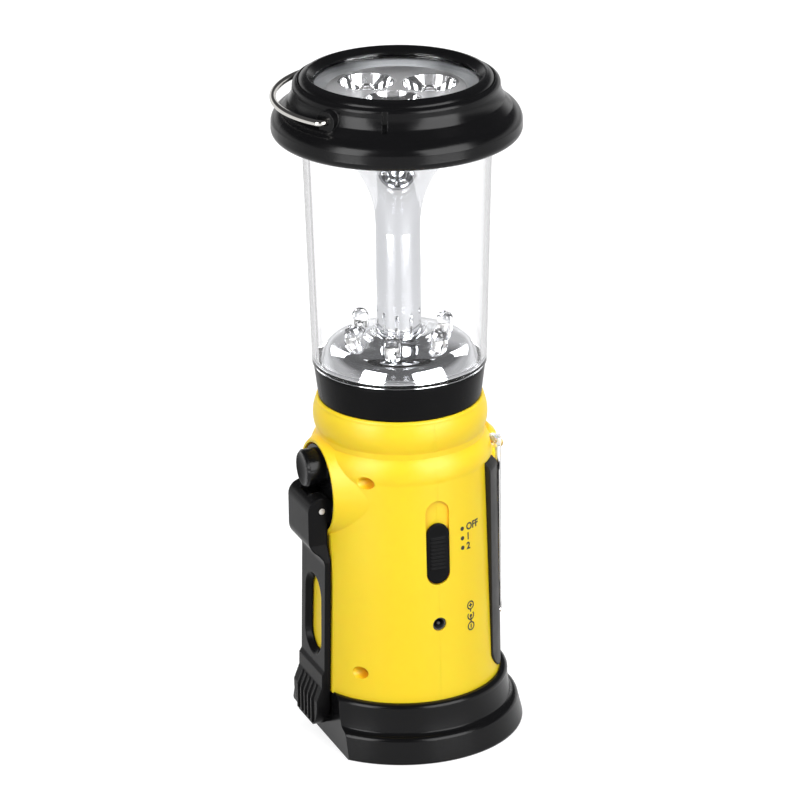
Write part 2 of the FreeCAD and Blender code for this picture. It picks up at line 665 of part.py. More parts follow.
# Clear globe: a slightly opening tube with a neck that plugs into the collar.
neck_radius = d.collar_top_radius - 1.4
globe_outline = [
    (neck_radius - d.globe_wall, globe_foot_z),
    (neck_radius, globe_foot_z),
    (neck_radius, collar_top_z + 0.02),
    (d.globe_foot_radius, collar_top_z + 0.02),
    (d.globe_foot_radius, collar_top_z + 0.8),
    (d.globe_top_radius, globe_top_z - 0.02),
    (d.globe_top_radius - d.globe_wall, globe_top_z - 0.02),
    (d.globe_foot_radius - d.globe_wall, collar_top_z + 2.0),
    (neck_radius - d.globe_wall, collar_top_z + 0.4),
]
finish("globe", turned("Globe", globe_outline))

# Head ring: bulged brim, slim neck and rounded rim, with a floor over the globe.
brim_low_z = globe_top_z + 0.4
brim_outline = [
    (0, globe_top_z),
    (d.globe_top_radius + 0.8, globe_top_z),
    (d.globe_top_radius + 1.2, brim_low_z - 0.8),
    (d.brim_radius - 2.6, brim_low_z - 0.6, 6),
    (d.brim_radius, brim_low_z + 1.9, -2.6),
    (d.brim_radius - 0.1, brim_low_z + d.brim_height),
    (d.brim_radius - 3.1, brim_low_z + d.brim_height + 3.6, -5.2),
    (d.neck_radius + 1.2, brim_low_z + d.brim_height + 6.2),
    (d.neck_radius, crest_z - 4.4, 9),
    (d.neck_radius - 0.1, crest_z - 3.0),
    (d.head_bore_radius + 0.4, crest_z - 1.7, -1.7),
    (d.head_bore_radius, crest_z - 1.9),
    (d.head_bore_radius, floor_top_z),
    (0, floor_top_z),
]
head_form = turned("HeadForm", brim_outline)


def pivot_rod(name, radius, from_reach, to_reach, side):
    """A cylinder on the handle's pivot line, between two distances from the axis."""
    thing = DOC.addObject("Part::Cylinder", name)
    bind(thing, Radius=radius, Height=sized(to_reach) - sized(from_reach))
    turn = f"({d.bail_turn.text} + {side}) * 1 deg"
    angle = math.radians(d.bail_turn.value + side)
    start = sized(from_reach)
    thing.Placement = FreeCAD.Placement(
        VECTOR(start.value * math.cos(angle), start.value * math.sin(angle), bail_pivot_z.value),
        FreeCAD.Rotation(VECTOR(0, 0, 1), math.degrees(angle)) * TURN_TO_X)
    thing.setExpression("Placement", (
        f"create(<<placement>>; create(<<vector>>; {start.text} * cos({turn}); {start.text} * sin({turn});"
        f" {bail_pivot_z.text}); create(<<rotation>>; create(<<vector>>; 0; 0; 1); {turn})"
        f" * create(<<rotation>>; create(<<vector>>; 0; 1; 0); 90))"))
    return thing


bail_end_reach = d.neck_radius - 1.6
pivot_bosses = [pivot_rod(f"PivotBoss{side}", d.pivot_boss_radius, d.neck_radius - 1.5,
                          d.neck_radius + d.pivot_boss_height, side) for side in (0, 180)]
pivot_holes = [pivot_rod(f"PivotHole{side}", d.bail_wire / 2 + 0.05, bail_end_reach - 0.3, 50, side)
               for side in (0, 180)]
notch = slab("HeadNotch", "XZ_Plane", [
    (d.neck_radius + 0.6, crest_z - 8.4),
    (d.neck_radius + 3, crest_z - 8.4),
    (d.neck_radius + 3, crest_z - 2.4),
    (d.neck_radius - 0.9, crest_z - 2.4),
    (d.neck_radius - 0.9, crest_z - 6.4),
], 1.5)
notch.Placement = FreeCAD.Placement(VECTOR(0, 0, 0), FreeCAD.Rotation(VECTOR(0, 0, 1), 242.6))
finish("head_ring", cut("HeadRing", fuse("HeadWithBosses", head_form, *pivot_bosses), notch, *pivot_holes))

# Bezel ring that holds the lens, sloping down to it.
bezel_outer = d.head_bore_radius - d.fit_gap
bezel_outline = [
    (d.lens_radius + 0.05, lens_low_z - 1.2),
    (bezel_outer, lens_low_z - 1.2),
    (bezel_outer, crest_z - 1.9),
    (bezel_outer - 1.9, crest_z - 0.2, -2.8),
    (bezel_outer - 2.7, crest_z, -1.6),
    (d.lens_radius - 1.3, lens_top_z + 0.5),
    (d.lens_radius - 1.3, lens_top_z + 0.02),
    (d.lens_radius + 0.05, lens_top_z + 0.02),
]
finish("lens_bezel", turned("LensBezel", bezel_outline))
lens_outline = [
    (0, lens_low_z),
    (d.lens_radius, lens_low_z),
    (d.lens_radius, lens_top_z),
    (0, lens_top_z),
]
finish("torch_lens", turned("TorchLens", lens_outline))

# Torch reflector: a bowl with a flat top and three deep cups.
reflector_outer = d.lens_radius - 0.5
reflector_top_z = lens_low_z - 0.3
cup_low_z = reflector_top_z - d.cup_depth
cup_angles = (3, 123, 243)
reflector_form = turned("ReflectorForm", [
    (0, cup_low_z),
    (d.cup_circle_radius + d.cup_throat_radius + 2.0, cup_low_z),
    (reflector_outer - 1.2, reflector_top_z - 3.0),
    (reflector_outer, reflector_top_z - 1.0),
    (reflector_outer, reflector_top_z),
    (0, reflector_top_z),
])


def cup(angle):
    """One polished cup, wide at the top."""
    mouth, throat = d.cup_mouth_radius, d.cup_throat_radius
    lower = taper(f"CupLow{angle}", throat, throat + (mouth - throat) * 0.66, d.cup_depth * 0.45,
                  round_place(d.cup_circle_radius, angle, cup_low_z))
    upper = taper(f"CupHigh{angle}", throat + (mouth - throat) * 0.66, mouth, d.cup_depth * 0.55 + 0.01,
                  round_place(d.cup_circle_radius, angle, cup_low_z + d.cup_depth * 0.45))
    mouth_edge = rod(f"CupEdge{angle}", mouth, 2, round_place(d.cup_circle_radius, angle, reflector_top_z))
    throat_hole = rod(f"CupHole{angle}", throat, 4, round_place(d.cup_circle_radius, angle, cup_low_z - 2))
    return fuse(f"Cup{angle}", lower, upper, mouth_edge, throat_hole)


reflector_dip = taper("ReflectorDip", d.lens_radius - 5.0, d.lens_radius - 1.4, 1.6,
                      (0, 0, reflector_top_z - 1.6))
finish("torch_reflector", cut("TorchReflector", reflector_form, reflector_dip, *[cup(angle) for angle in cup_angles]))


def lamp(name, place_at):
    """A five millimetre lamp: flange, round body and domed end."""
    x, y, z = place_at
    flange = rod(name + "Flange", d.led_radius + 0.4, 1.0, (x, y, z))
    stem = rod(name + "Stem", d.led_radius, d.led_height - d.led_radius, (x, y, z))
    dome = ball(name + "Dome", d.led_radius, (x, y, z + d.led_height - d.led_radius))
    return fuse(name, flange, stem, dome)


def lamp_on_legs(name, place_at):
    """The same lamp standing on its two wire legs."""
    x, y, z = place_at
    body = lamp(name + "Body", (x, y, z + d.lamp_legs))
    near = rod(name + "LegNear", 0.3, d.lamp_legs + 0.5, (x - 1.27, y, z))
    far = rod(name + "LegFar", 0.3, d.lamp_legs + 0.5, (x + 1.27, y, z))
    return fuse(name, body, near, far)


torch_board_top = cup_low_z
finish("torch_board", cut("TorchBoard", rod("TorchBoardForm", d.cup_circle_radius + 9.2, d.board_thickness,
                                            (0, 0, torch_board_top - d.board_thickness)),
                          rod("TorchBoardHole", 2.0, 6, (0, 0, torch_board_top - 4))))
finish("torch_leds", group("TorchLeds", [
    lamp(f"TorchLamp{angle}", round_place(d.cup_circle_radius, angle, torch_board_top)) for angle in cup_angles]))

# Wire handle: half a circle with an elbow at each end, lying on the brim.
def bail_shape():
    """The bent wire in the handle's own plane, pivot line along X."""
    radius = d.bail_radius.value
    elbow = d.bail_elbow.value
    reach = bail_end_reach.value
    edges = []
    corner = elbow * (1 - math.sqrt(0.5))
    edges.append(Part.LineSegment(VECTOR(reach, 0, 0), VECTOR(radius - elbow, 0, 0)).toShape())
    edges.append(Part.Arc(VECTOR(radius - elbow, 0, 0), VECTOR(radius - corner, corner, 0),
                          VECTOR(radius, elbow, 0)).toShape())
    edges.append(Part.Arc(VECTOR(radius, elbow, 0), VECTOR(0, elbow + radius, 0),
                          VECTOR(-radius, elbow, 0)).toShape())
    edges.append(Part.Arc(VECTOR(-radius, elbow, 0), VECTOR(-radius + corner, corner, 0),
                          VECTOR(elbow - radius, 0, 0)).toShape())
    edges.append(Part.LineSegment(VECTOR(elbow - radius, 0, 0), VECTOR(-reach, 0, 0)).toShape())
    path = Part.Wire(edges)
    circle = Part.Wire([Part.Circle(VECTOR(reach, 0, 0), VECTOR(1, 0, 0), d.bail_wire.value / 2).toShape()])
    return path.makePipeShell([circle], True, False)


bail = DOC.addObject("Part::Feature", "Bail")
bail.Shape = bail_shape()
bail.Placement = FreeCAD.Placement(
    VECTOR(0, 0, bail_pivot_z.value),
    FreeCAD.Rotation(VECTOR(0, 0, 1), d.bail_turn.value) * FreeCAD.Rotation(VECTOR(1, 0, 0), -d.bail_droop.value))
finish("bail_wire", bail)


# Lantern inside the globe: board, chrome dish with six lamps, and a column that opens out like a trumpet.
lamp_board_top = globe_foot_z + 2.0
lamp_ring = d.lamp_circle_radius
finish("lantern_board", cut("LanternBoard", rod("LanternBoardForm", neck_radius - d.globe_wall - 1.0, d.board_thickness,
                                                (0, 0, lamp_board_top - d.board_thickness)),
                            rod("LanternBoardHole", 2.5, 6, (0, 0, lamp_board_top - 4))))
# The dish is a low cone round the column, with a flat ring outside and a small upturned rim.
dish_ring_z = lamp_board_top + 3.2
dish_upper = [
    (d.dish_radius, dish_ring_z + 1.2),
    (d.dish_radius - 1.2, dish_ring_z + 0.2),
    (d.dish_radius - 3.0, dish_ring_z),
    (d.column_radius + 2.9, dish_ring_z + 5.6),
    (d.column_radius + 2.5, dish_ring_z + 6.8),
    (d.column_radius + 1.3, dish_ring_z + 7.2),
    (d.column_radius + 0.1, dish_ring_z + 7.6),
]
dish_lower = [
    (d.column_radius + 0.1, dish_ring_z + 6.7),
    (d.column_radius + 1.2, dish_ring_z + 6.3),
    (d.column_radius + 1.8, dish_ring_z + 5.0),
    (d.dish_radius - 3.2, dish_ring_z - 0.9),
    (d.dish_radius - 0.8, dish_ring_z - 0.8),
    (d.dish_radius, dish_ring_z + 0.1),
]
dish_form = turned("DishForm", dish_upper + dish_lower)
lamp_angles = [1 + 60 * index for index in range(6)]
dish_holes = [rod(f"DishHole{angle}", d.led_radius + 0.5, d.lamp_legs + 5, round_place(lamp_ring, angle, lamp_board_top))
              for angle in lamp_angles]
finish("lantern_dish", cut("LanternDish", dish_form, *dish_holes))
finish("lantern_leds", group("LanternLeds", [
    lamp_on_legs(f"LanternLamp{angle}", round_place(lamp_ring, angle, lamp_board_top)) for angle in lamp_angles]))
column_foot_z = lamp_board_top + 0.02
flare_low_z = globe_top_z - 30.0
column_top_z = globe_top_z - 0.3
column_outline = [
    (d.column_radius - d.column_wall, column_foot_z),
    (d.column_radius, column_foot_z),
    (d.column_radius, flare_low_z),
    (d.column_radius + 1.9, flare_low_z + 11.5, 35.8),
    (d.column_radius + 7.9, flare_low_z + 21.5, 27.6),
    (d.flare_radius, column_top_z - 1.0, 29.4),
    (d.flare_radius, column_top_z),
    (d.flare_radius - 2.2, column_top_z),
    (d.column_radius + 7.1, flare_low_z + 22.2, -30.5),
    (d.column_radius + 0.9, flare_low_z + 11.8, -28.7),
    (d.column_radius - d.column_wall, flare_low_z, -37.6),
]
finish("trumpet_reflector", turned("TrumpetReflector", column_outline))

# Radio panel: a raised black frame round three sides of the window.
panel_angle = 2 * d.panel_half_angle
panel_foot_radius = d.body_foot_radius + d.panel_foot_rise
panel_top_radius = d.body_shoulder_radius + d.panel_top_rise
body_slope = (d.body_foot_radius - d.body_shoulder_radius) / (d.shoulder_z - 6 - d.body_foot_z)
body_at_panel_top = d.body_shoulder_radius + body_slope * (d.shoulder_z - 6 - d.panel_top_z)
body_at_panel_foot = d.body_foot_radius - body_slope * (d.panel_foot_z - d.body_foot_z)
panel_form = turned("PanelForm", [
    (body_at_panel_foot + 0.02, d.panel_foot_z),
    (panel_foot_radius - 0.3, d.panel_foot_z),
    (panel_foot_radius, d.panel_foot_z + 0.6),
    (panel_top_radius, d.panel_top_z - 2.4),
    (panel_top_radius - 0.4, d.panel_top_z - 1.6),
    (body_at_panel_top + 0.3, d.panel_top_z),
    (body_at_panel_top + 0.05, d.panel_top_z),
], panel_angle)
panel_half_width = 21.2
panel_corner = 9.0
panel_outline_front = slab("PanelOutline", "YZ_Plane", [
    (-panel_half_width, 100),
    (-panel_half_width, d.panel_foot_z + panel_corner),
    (-panel_half_width + panel_corner, d.panel_foot_z - 0.1, -panel_corner),
    (panel_half_width - panel_corner, d.panel_foot_z - 0.1),
    (panel_half_width, d.panel_foot_z + panel_corner, -panel_corner),
    (panel_half_width, 100),
], 90)
window_half_width = 14.2
window_corner = 7.0
panel_window = slab("PanelWindow", "YZ_Plane", [
    (-window_half_width, 110),
    (-window_half_width, d.window_foot_z + window_corner),
    (-window_half_width + window_corner, d.window_foot_z, -window_corner),
    (window_half_width - window_corner, d.window_foot_z),
    (window_half_width, d.window_foot_z + window_corner, -window_corner),
    (window_half_width, 110),
], 90)
finish("radio_fascia", cut("RadioFascia", common("PanelTrimmed", panel_form, panel_outline_front), panel_window))

# Push button in the shoulder, over a small switch on the radio board.
button_face = d.body_shoulder_radius + 1.1
mound_back_x = sized(22.0)
button_cap = rod("ButtonCap", d.button_radius, button_face - mound_back_x + 0.6,
                 (mound_back_x - 0.6, 0, d.button_z), TURN_TO_X)
button_flange = rod("ButtonFlange", d.button_radius + 0.8, 1.0, (mound_back_x - 1.1, 0, d.button_z), TURN_TO_X)
button_dimple = ball("ButtonDimple", 6.0, (button_face + 5.5, 0, d.button_z))
finish("torch_button", cut("TorchButton", fuse("ButtonBody", button_cap, button_flange), button_dimple))
contact_board_x = mound_back_x - 5.0
finish("button_contact", fuse("ButtonContact",
                              box("ContactBoard", (d.board_thickness, 20, 9), (contact_board_x - d.board_thickness, -10,
                                                                              d.button_z - 4.5)),
                              box("ContactCase", (2.2, 6, 6), (contact_board_x, -3, d.button_z - 3))))

# Clear cover: a curved visor over the window, hinged on two short pins beside the button.
cover_outer = d.cover_radius - d.cover_curve_x
cover_inner = cover_outer - d.cover_wall
cover_low_z = d.window_foot_z + 0.3
cover_turned = turned("CoverTurned", [
    (cover_inner - 1.6, cover_low_z),
    (cover_outer - 1.2, cover_low_z),
    (cover_outer, cover_low_z + 4.2, -5),
    (cover_outer, d.cover_top_z - 4),
    (cover_outer - 0.9, d.cover_top_z, -10),
    (cover_inner - 0.9, d.cover_top_z),
    (cover_inner, d.cover_top_z - 4),
    (cover_inner, cover_low_z + 4.2),
    (cover_inner - 1.6, cover_low_z + 1.3),
], 90)
place(cover_turned, (d.cover_curve_x, 0, 0))
cover_corner = 6.7
cover_front = slab("CoverOutline", "YZ_Plane", [
    (-d.cover_half_width, d.cover_pin_z + 0.8),
    (-d.cover_half_width, cover_low_z + cover_corner),
    (-d.cover_half_width + cover_corner, cover_low_z, -cover_corner),
    (d.cover_half_width - cover_corner, cover_low_z),
    (d.cover_half_width, cover_low_z + cover_corner, -cover_corner),
    (d.cover_half_width, d.cover_pin_z + 0.8),
], 90)
cover_arch = rod("CoverArch", d.mound_radius + d.running_gap, 30, (20, 0, d.button_z), TURN_TO_X)
arch_open = box("CoverArchOpen", (30, 2 * (d.mound_radius + d.running_gap), 20),
                (20, -d.mound_radius - d.running_gap, d.button_z))
cover_sheet = cut("CoverSheet", common("CoverTrimmed", cover_turned, cover_front), cover_arch, arch_open)
knuckles = cut("CoverKnuckles", rod("KnuckleRod", d.cover_knuckle_radius, 2 * d.cover_half_width - 0.8,
                                    (d.cover_pin_x, -d.cover_half_width + 0.4, d.cover_pin_z), TURN_TO_Y),
               box("KnuckleGap", (30, 2 * (d.mound_radius + d.running_gap), 20),
                   (15, -d.mound_radius - d.running_gap, d.cover_pin_z - 10)))
cover_pin_bore = rod("CoverPinBore", d.cover_pin_radius + d.pin_gap, 40, (d.cover_pin_x, -20, d.cover_pin_z),
                     TURN_TO_Y)
finish("clear_cover", cut("ClearCover", fuse("CoverBody", cover_sheet, knuckles), cover_pin_bore))
cover_pin_start = 4.8
cover_pin_length = d.cover_half_width - cover_pin_start - 0.4
finish("cover_pins", group("CoverPins", [
    rod("CoverPinFar", d.cover_pin_radius, cover_pin_length, (d.cover_pin_x, cover_pin_start, d.cover_pin_z),
        TURN_TO_Y),
    rod("CoverPinNear", d.cover_pin_radius, cover_pin_length, (d.cover_pin_x, -cover_pin_start, d.cover_pin_z),
        TURN_TO_MINUS_Y)]))

# Tuning knob, its capacitor and the radio board.
knob_back = d.window_floor_radius + 0.25
capacitor_depth = 8.0
knob_disc = taper("KnobDisc", d.knob_radius, d.knob_radius - 0.7, d.knob_height, (knob_back, 0, d.knob_z), TURN_TO_X)
knob_shaft = rod("KnobShaft", d.shaft_radius, knob_back + 0.2 - board_front_x - capacitor_depth + 2.0,
                 (board_front_x + capacitor_depth - 2.0, 0, d.knob_z), TURN_TO_X)
knob_dimple = ball("KnobDimple", 3.6, (knob_back + d.knob_height + 2.6, 0, d.knob_z + d.knob_radius - 3.0))
knob_flutes = []
for index in range(24):
    angle = math.radians(15 * index)
    knob_flutes.append(rod(f"KnobFlute{index}", 0.45, 6, (
        knob_back - 1,
        Size(f"({(d.knob_radius + 0.1).text} * cos({15 * index} deg))", (d.knob_radius.value + 0.1) * math.cos(angle)),
        d.knob_z + Size(f"({(d.knob_radius + 0.1).text} * sin({15 * index} deg))",
                        (d.knob_radius.value + 0.1) * math.sin(angle))), TURN_TO_X))
finish("tuning_knob", cut("TuningKnob", fuse("KnobBody", knob_disc, knob_shaft), knob_dimple, *knob_flutes))
capacitor_block = box("CapacitorBlock", (capacitor_depth, 14, 14), (board_front_x, -7, d.knob_z - 7))
capacitor_sleeve = rod("CapacitorSleeve", 3.4, 3.0, (board_front_x + capacitor_depth, 0, d.knob_z), TURN_TO_X)
capacitor_bore = rod("CapacitorBore", d.shaft_radius + d.shaft_gap, 20,
                     (board_front_x + capacitor_depth - 2.3, 0, d.knob_z), TURN_TO_X)
finish("tuning_capacitor", cut("TuningCapacitor", fuse("CapacitorBody", capacitor_block, capacitor_sleeve),
                               capacitor_bore))
board_back_x = board_front_x - d.board_thickness
finish("radio_board", box("RadioBoard", (d.board_thickness - 0.02, 34, 34), (board_back_x, -17, 28.5)))
antenna_radius = 3.2
finish("ferrite_antenna", fuse("FerriteAntenna",
                               rod("AntennaCore", antenna_radius - 0.6, 36,
                                   (board_back_x - antenna_radius - 0.3, -15, 33.0), TURN_TO_Y),
                               rod("AntennaCoil", antenna_radius, 14,
                                   (board_back_x - antenna_radius - 0.3, -4, 33.0), TURN_TO_Y)))

# Band switch: a small square thumb on a stem through its slot.
band_face = d.window_floor_radius + 1.4
band_back_x = 25.6
band_thumb = box("BandThumb", (band_face - band_back_x, d.band_size, d.band_size),
                 (band_back_x, d.band_y - d.band_size / 2, d.band_z - d.band_size / 2))
band_stem = box("BandStem", (5.0, 1.6, 1.8), (band_back_x - 4.9, d.band_y - 0.8, d.band_z - 0.9))
band_grooves = [box(f"BandGroove{index}", (0.5, 10, 0.5), (band_face - 0.4, d.band_y - 5, d.band_z - 1.35 + 1.1 * index))
                for index in range(3)]
finish("band_switch", cut("BandSwitch", fuse("BandBody", band_thumb, band_stem), *band_grooves))

# Loudspeaker behind the grille, in a foam ring against the back of the window.
speaker_z = d.band_z + 6.5
speaker_front_x = 17.6
speaker_radius = 13.6
speaker_outline = [
    (0, 0),
    (6.0, 0),
    (6.0, 3.6),
    (8.6, 4.0),
    (speaker_radius - 0.6, 8.0),
    (speaker_radius, 8.0),
    (speaker_radius, 9.4),
    (speaker_radius - 2.0, 9.4),
    (speaker_radius - 3.2, 8.8, 1.2),
    (3.6, 6.0),
    (3.0, 6.6),
    (1.6, 7.1),
    (0, 7.2),
]
speaker = turned("Loudspeaker", speaker_outline)
place(speaker, (speaker_front_x - 9.4, 0, speaker_z), TURN_TO_X)
finish("speaker", speaker)
foam = cut("SpeakerFoam", rod("FoamOuter", speaker_radius, 12, (speaker_front_x + 0.02, 0, speaker_z), TURN_TO_X),
           rod("FoamInner", speaker_radius - 1.6, 20, (speaker_front_x - 2, 0, speaker_z), TURN_TO_X))
foam_room = rod("FoamRoom", window_back - 0.1, TALL, (0, 0, 0))
finish("speaker_gasket", common("SpeakerGasket", foam, foam_room))

# Slide switch: a ribbed thumb in its recess, a stem through the slot, and a block that drives the switch behind.
thumb_width = d.switch_slot_width - 2 * d.running_gap
thumb_face_reach = d.switch_floor_reach + 1.4
thumb_back_reach = d.switch_floor_reach + 0.12
thumb = stadium("Thumb", thumb_width, d.switch_thumb_length, thumb_face_reach - thumb_back_reach - 0.3, d.seam_x,
                -thumb_face_reach, thumb_z)
thumb_foot = stadium("ThumbFoot", thumb_width - 0.6, d.switch_thumb_length - 0.6, 0.6, d.seam_x,
                     -(thumb_back_reach + 0.59), thumb_z)
thumb_ribs = [box(f"ThumbRib{index}", (5.0, 0.8, 0.55),
                  (d.seam_x - 2.5, -thumb_face_reach - 0.4, thumb_z - 5.1 + 1.2 * index)) for index in range(9)]
stem = box("SwitchStem", (2.2, thumb_back_reach + 0.2 - (d.switch_seat_reach - 0.6), 2 * stem_half),
           (d.seam_x - 1.1, -(thumb_back_reach + 0.2), thumb_z - stem_half))
block = box("SwitchBlock", (6.4, 1.7, 2 * block_half), (d.seam_x - 3.2, -(d.switch_seat_reach - 0.2), thumb_z - block_half))
finish("slide_switch", fuse("SlideSwitch", thumb, thumb_foot, stem, block, *thumb_ribs))
case_length = 2 * block_half + d.switch_travel + 1.2
finish("switch_body", fuse("SwitchBody", box("SwitchCase", (7.6, 5.2, case_length),
                                             (d.seam_x - 3.8, -switch_case_reach, thumb_z - block_half - 0.6)),
                           box("SwitchLugs", (4.0, 1.6, case_length + 5.2),
                               (d.seam_x - 2.0, -switch_case_reach, thumb_z - block_half - 3.2))))

# Charger socket behind its hole on the seam.
jack_barrel = rod("JackBarrel", 3.3, 9.0, (d.seam_x, -26.2, d.jack_z), TURN_TO_Y)
jack_neck = rod("JackNeck", d.jack_hole_radius - 0.05, 4.0, (d.seam_x, -28.4, d.jack_z), TURN_TO_Y)
jack_bore = rod("JackBore", d.jack_hole_radius - 0.55, 9.0, (d.seam_x, -29.4, d.jack_z), TURN_TO_Y)
jack_pin = rod("JackPin", 0.5, 7.6, (d.seam_x, -28.0, d.jack_z), TURN_TO_Y)
finish("charger_jack", fuse("ChargerJack", cut("JackShell", fuse("JackBody", jack_barrel, jack_neck), jack_bore),
                            jack_pin))

# Rechargeable cells standing on the base plate.
cell_radius = 7.0
cell_circle = sized(9.2)
cells = []
for angle in (0, 120, 240):
    x, y, z = round_place(cell_circle, angle, plate_top_z + 0.2)
    can = rod(f"CellCan{angle}", cell_radius, 23, (x, y, z))
    tip = rod(f"CellTip{angle}", 2.6, 24.2, (x, y, z))
    cells.append(fuse(f"Cell{angle}", can, tip))
finish("battery_cells", group("BatteryCells", cells))


# Gear train: involute teeth, cut by formula.
PRESSURE = math.radians(20)


def wheel_shape(module, teeth, width, bore):
    """A spur wheel round the Z axis. Flanks are arcs through three points of the involute; a tooth points to +X."""
    pitch = module * teeth / 2
    base = pitch * math.cos(PRESSURE)
    tip = pitch + module
    root = pitch - 1.25 * module
    thinning = 0.05 * module / pitch

    def flank_point(radius, side):
        """A point of the tooth's flank at a radius, measured from the tooth's middle."""
        roll = math.acos(min(1.0, base / radius))
        spread = math.tan(PRESSURE) - PRESSURE - (math.tan(roll) - roll)
        half = math.pi / (2 * teeth) + spread - thinning
        return radius, side * half

    def point(polar, turn):
        radius, angle = polar
        return VECTOR(radius * math.cos(angle + turn), radius * math.sin(angle + turn), 0)

    start = max(base, root + 0.02 * module)
    edges = []
    pitch_angle = 2 * math.pi / teeth
    for index in range(teeth):
        turn = index * pitch_angle
        low, mid, high = [flank_point(radius, 1) for radius in (start, (start + tip) / 2, tip)]
        foot = (root, low[1])
        up = [point((radius, -angle), turn) for radius, angle in (foot, low, mid, high)]
        down = [point(polar, turn) for polar in (high, mid, low, foot)]
        edges.append(Part.LineSegment(up[0], up[1]).toShape())
        edges.append(Part.Arc(up[1], up[2], up[3]).toShape())
        edges.append(Part.Arc(up[3], point((tip, 0), turn), down[0]).toShape())
        edges.append(Part.Arc(down[0], down[1], down[2]).toShape())
        edges.append(Part.LineSegment(down[2], down[3]).toShape())
        next_foot = point((root, -foot[1]), turn + pitch_angle)
        edges.append(Part.Arc(down[3], point((root, pitch_angle / 2), turn), next_foot).toShape())
    disc = Part.Face(Part.Wire(edges)).extrude(VECTOR(0, 0, width))
    return disc.cut(Part.makeCylinder(bore, width + 2, VECTOR(0, 0, -1)))


def wheel(name, module, teeth, width, bore, reach_high, z, turn):
    """A wheel on the crank side whose outer face is at reach_high, turned about its shaft, tooth 0 down."""
    thing = DOC.addObject("Part::Feature", name)
    thing.Shape = wheel_shape(module.value, int(teeth.value), sized(width).value, sized(bore).value)
    thing.Placement = FreeCAD.Placement(VECTOR(-sized(reach_high).value, 0, sized(z).value),
                                        TURN_TO_X * FreeCAD.Rotation(VECTOR(0, 0, 1), turn))
    return thing


plate_reach_low = 13.6
plate_reach_high = plate_reach_low + d.gearbox_plate_wall
idler_wheel_high = plate_reach_high + 0.5 + d.idler_wheel_width
crank_wheel_low = idler_wheel_high + 0.5
crank_wheel_high = crank_wheel_low + d.wheel_width
idler_z = d.crank_z - d.wheel_module * (d.wheel_teeth + d.idler_pinion_teeth) / 2 - d.mesh_gap
generator_z = idler_z - d.fast_module * (d.idler_wheel_teeth + d.generator_pinion_teeth) / 2 - d.mesh_gap
axle_radius = 1.2
pinion_shaft_radius = 0.9

crank_wheel = wheel("CrankWheelTeeth", d.wheel_module, d.wheel_teeth, d.wheel_width, d.shaft_radius + 0.02,
                    crank_wheel_high, d.crank_z, 0)
lightening = [rod(f"WheelHole{angle}", 2.6, 10, (
    -crank_wheel_high - 2,
    Size(f"(8.2 * cos({angle} deg))", 8.2 * math.cos(math.radians(angle))),
    d.crank_z + Size(f"(8.2 * sin({angle} deg))", 8.2 * math.sin(math.radians(angle)))), TURN_TO_X)
    for angle in range(0, 360, 60)]
finish("crank_gear", cut("CrankGear", crank_wheel, *lightening))
half_pitch_idler = 180 / d.idler_pinion_teeth.value
half_pitch_generator = 180 / d.generator_pinion_teeth.value
idler_bore = axle_radius + d.shaft_gap
idler_pinion = wheel("IdlerPinion", d.wheel_module, d.idler_pinion_teeth, crank_wheel_high - idler_wheel_high + 0.01,
                     idler_bore, crank_wheel_high, idler_z, 180 + half_pitch_idler)
idler_wheel = wheel("IdlerWheel", d.fast_module, d.idler_wheel_teeth, d.idler_wheel_width, idler_bore,
                    idler_wheel_high, idler_z, 0)
finish("idler_gear", fuse("IdlerGear", idler_pinion, idler_wheel))
finish("idler_axle", rod("IdlerAxle", axle_radius, crank_wheel_high + 0.3 - plate_reach_low,
                         (-crank_wheel_high - 0.3, 0, idler_z), TURN_TO_X))
generator_teeth = wheel("GeneratorTeeth", d.fast_module, d.generator_pinion_teeth, d.idler_wheel_width, 0.3,
                        idler_wheel_high, generator_z, 180 + half_pitch_generator)
generator_shaft = rod("GeneratorShaft", pinion_shaft_radius, idler_wheel_high - plate_reach_low + 3.0,
                      (-idler_wheel_high, 0, generator_z), TURN_TO_X)
finish("generator_pinion", fuse("GeneratorPinion", generator_teeth, generator_shaft))

generator_can = rod("GeneratorCan", d.generator_radius, d.generator_length, (-plate_reach_low + 0.02, 0, generator_z),
                    TURN_TO_X)
generator_cap = rod("GeneratorCap", 3.5, 1.0, (-plate_reach_low + d.generator_length, 0, generator_z), TURN_TO_X)
generator_bore = rod("GeneratorBore", pinion_shaft_radius + d.shaft_gap, 3.4, (-plate_reach_low, 0, generator_z),
                     TURN_TO_X)
finish("generator", cut("Generator", fuse("GeneratorBody", generator_can, generator_cap), generator_bore))

plate_post_y = 17.6
plate_bar = box("PlateBar", (d.gearbox_plate_wall, 2 * plate_post_y + 4, 6), (-plate_reach_high, -plate_post_y - 2, d.crank_z - 3))
plate_main = box("PlateMain", (d.gearbox_plate_wall, 25, d.crank_z + 9 - (generator_z - 12)),
                 (-plate_reach_high, -12.5, generator_z - 12))
plate_posts = [rod(f"GearPost{index}", 1.6, 12, (-plate_reach_high, y, d.crank_z), TURN_TO_MINUS_X)
               for index, y in enumerate((-plate_post_y, plate_post_y))]
plate_body = common("GearPlateInside", fuse("GearPlateForm", plate_bar, plate_main, *plate_posts), inner_form)
plate_bores = [
    rod("PlateCrankBore", d.shaft_radius + d.shaft_gap, 6, (-plate_reach_high - 2, 0, d.crank_z), TURN_TO_X),
    rod("PlateAxleBore", axle_radius + 0.02, 6, (-plate_reach_high - 2, 0, idler_z), TURN_TO_X),
    rod("PlateGeneratorBore", 2.4, 6, (-plate_reach_high - 2, 0, generator_z), TURN_TO_X),
]
finish("gearbox_plate", cut("GearboxPlate", plate_body, *plate_bores))

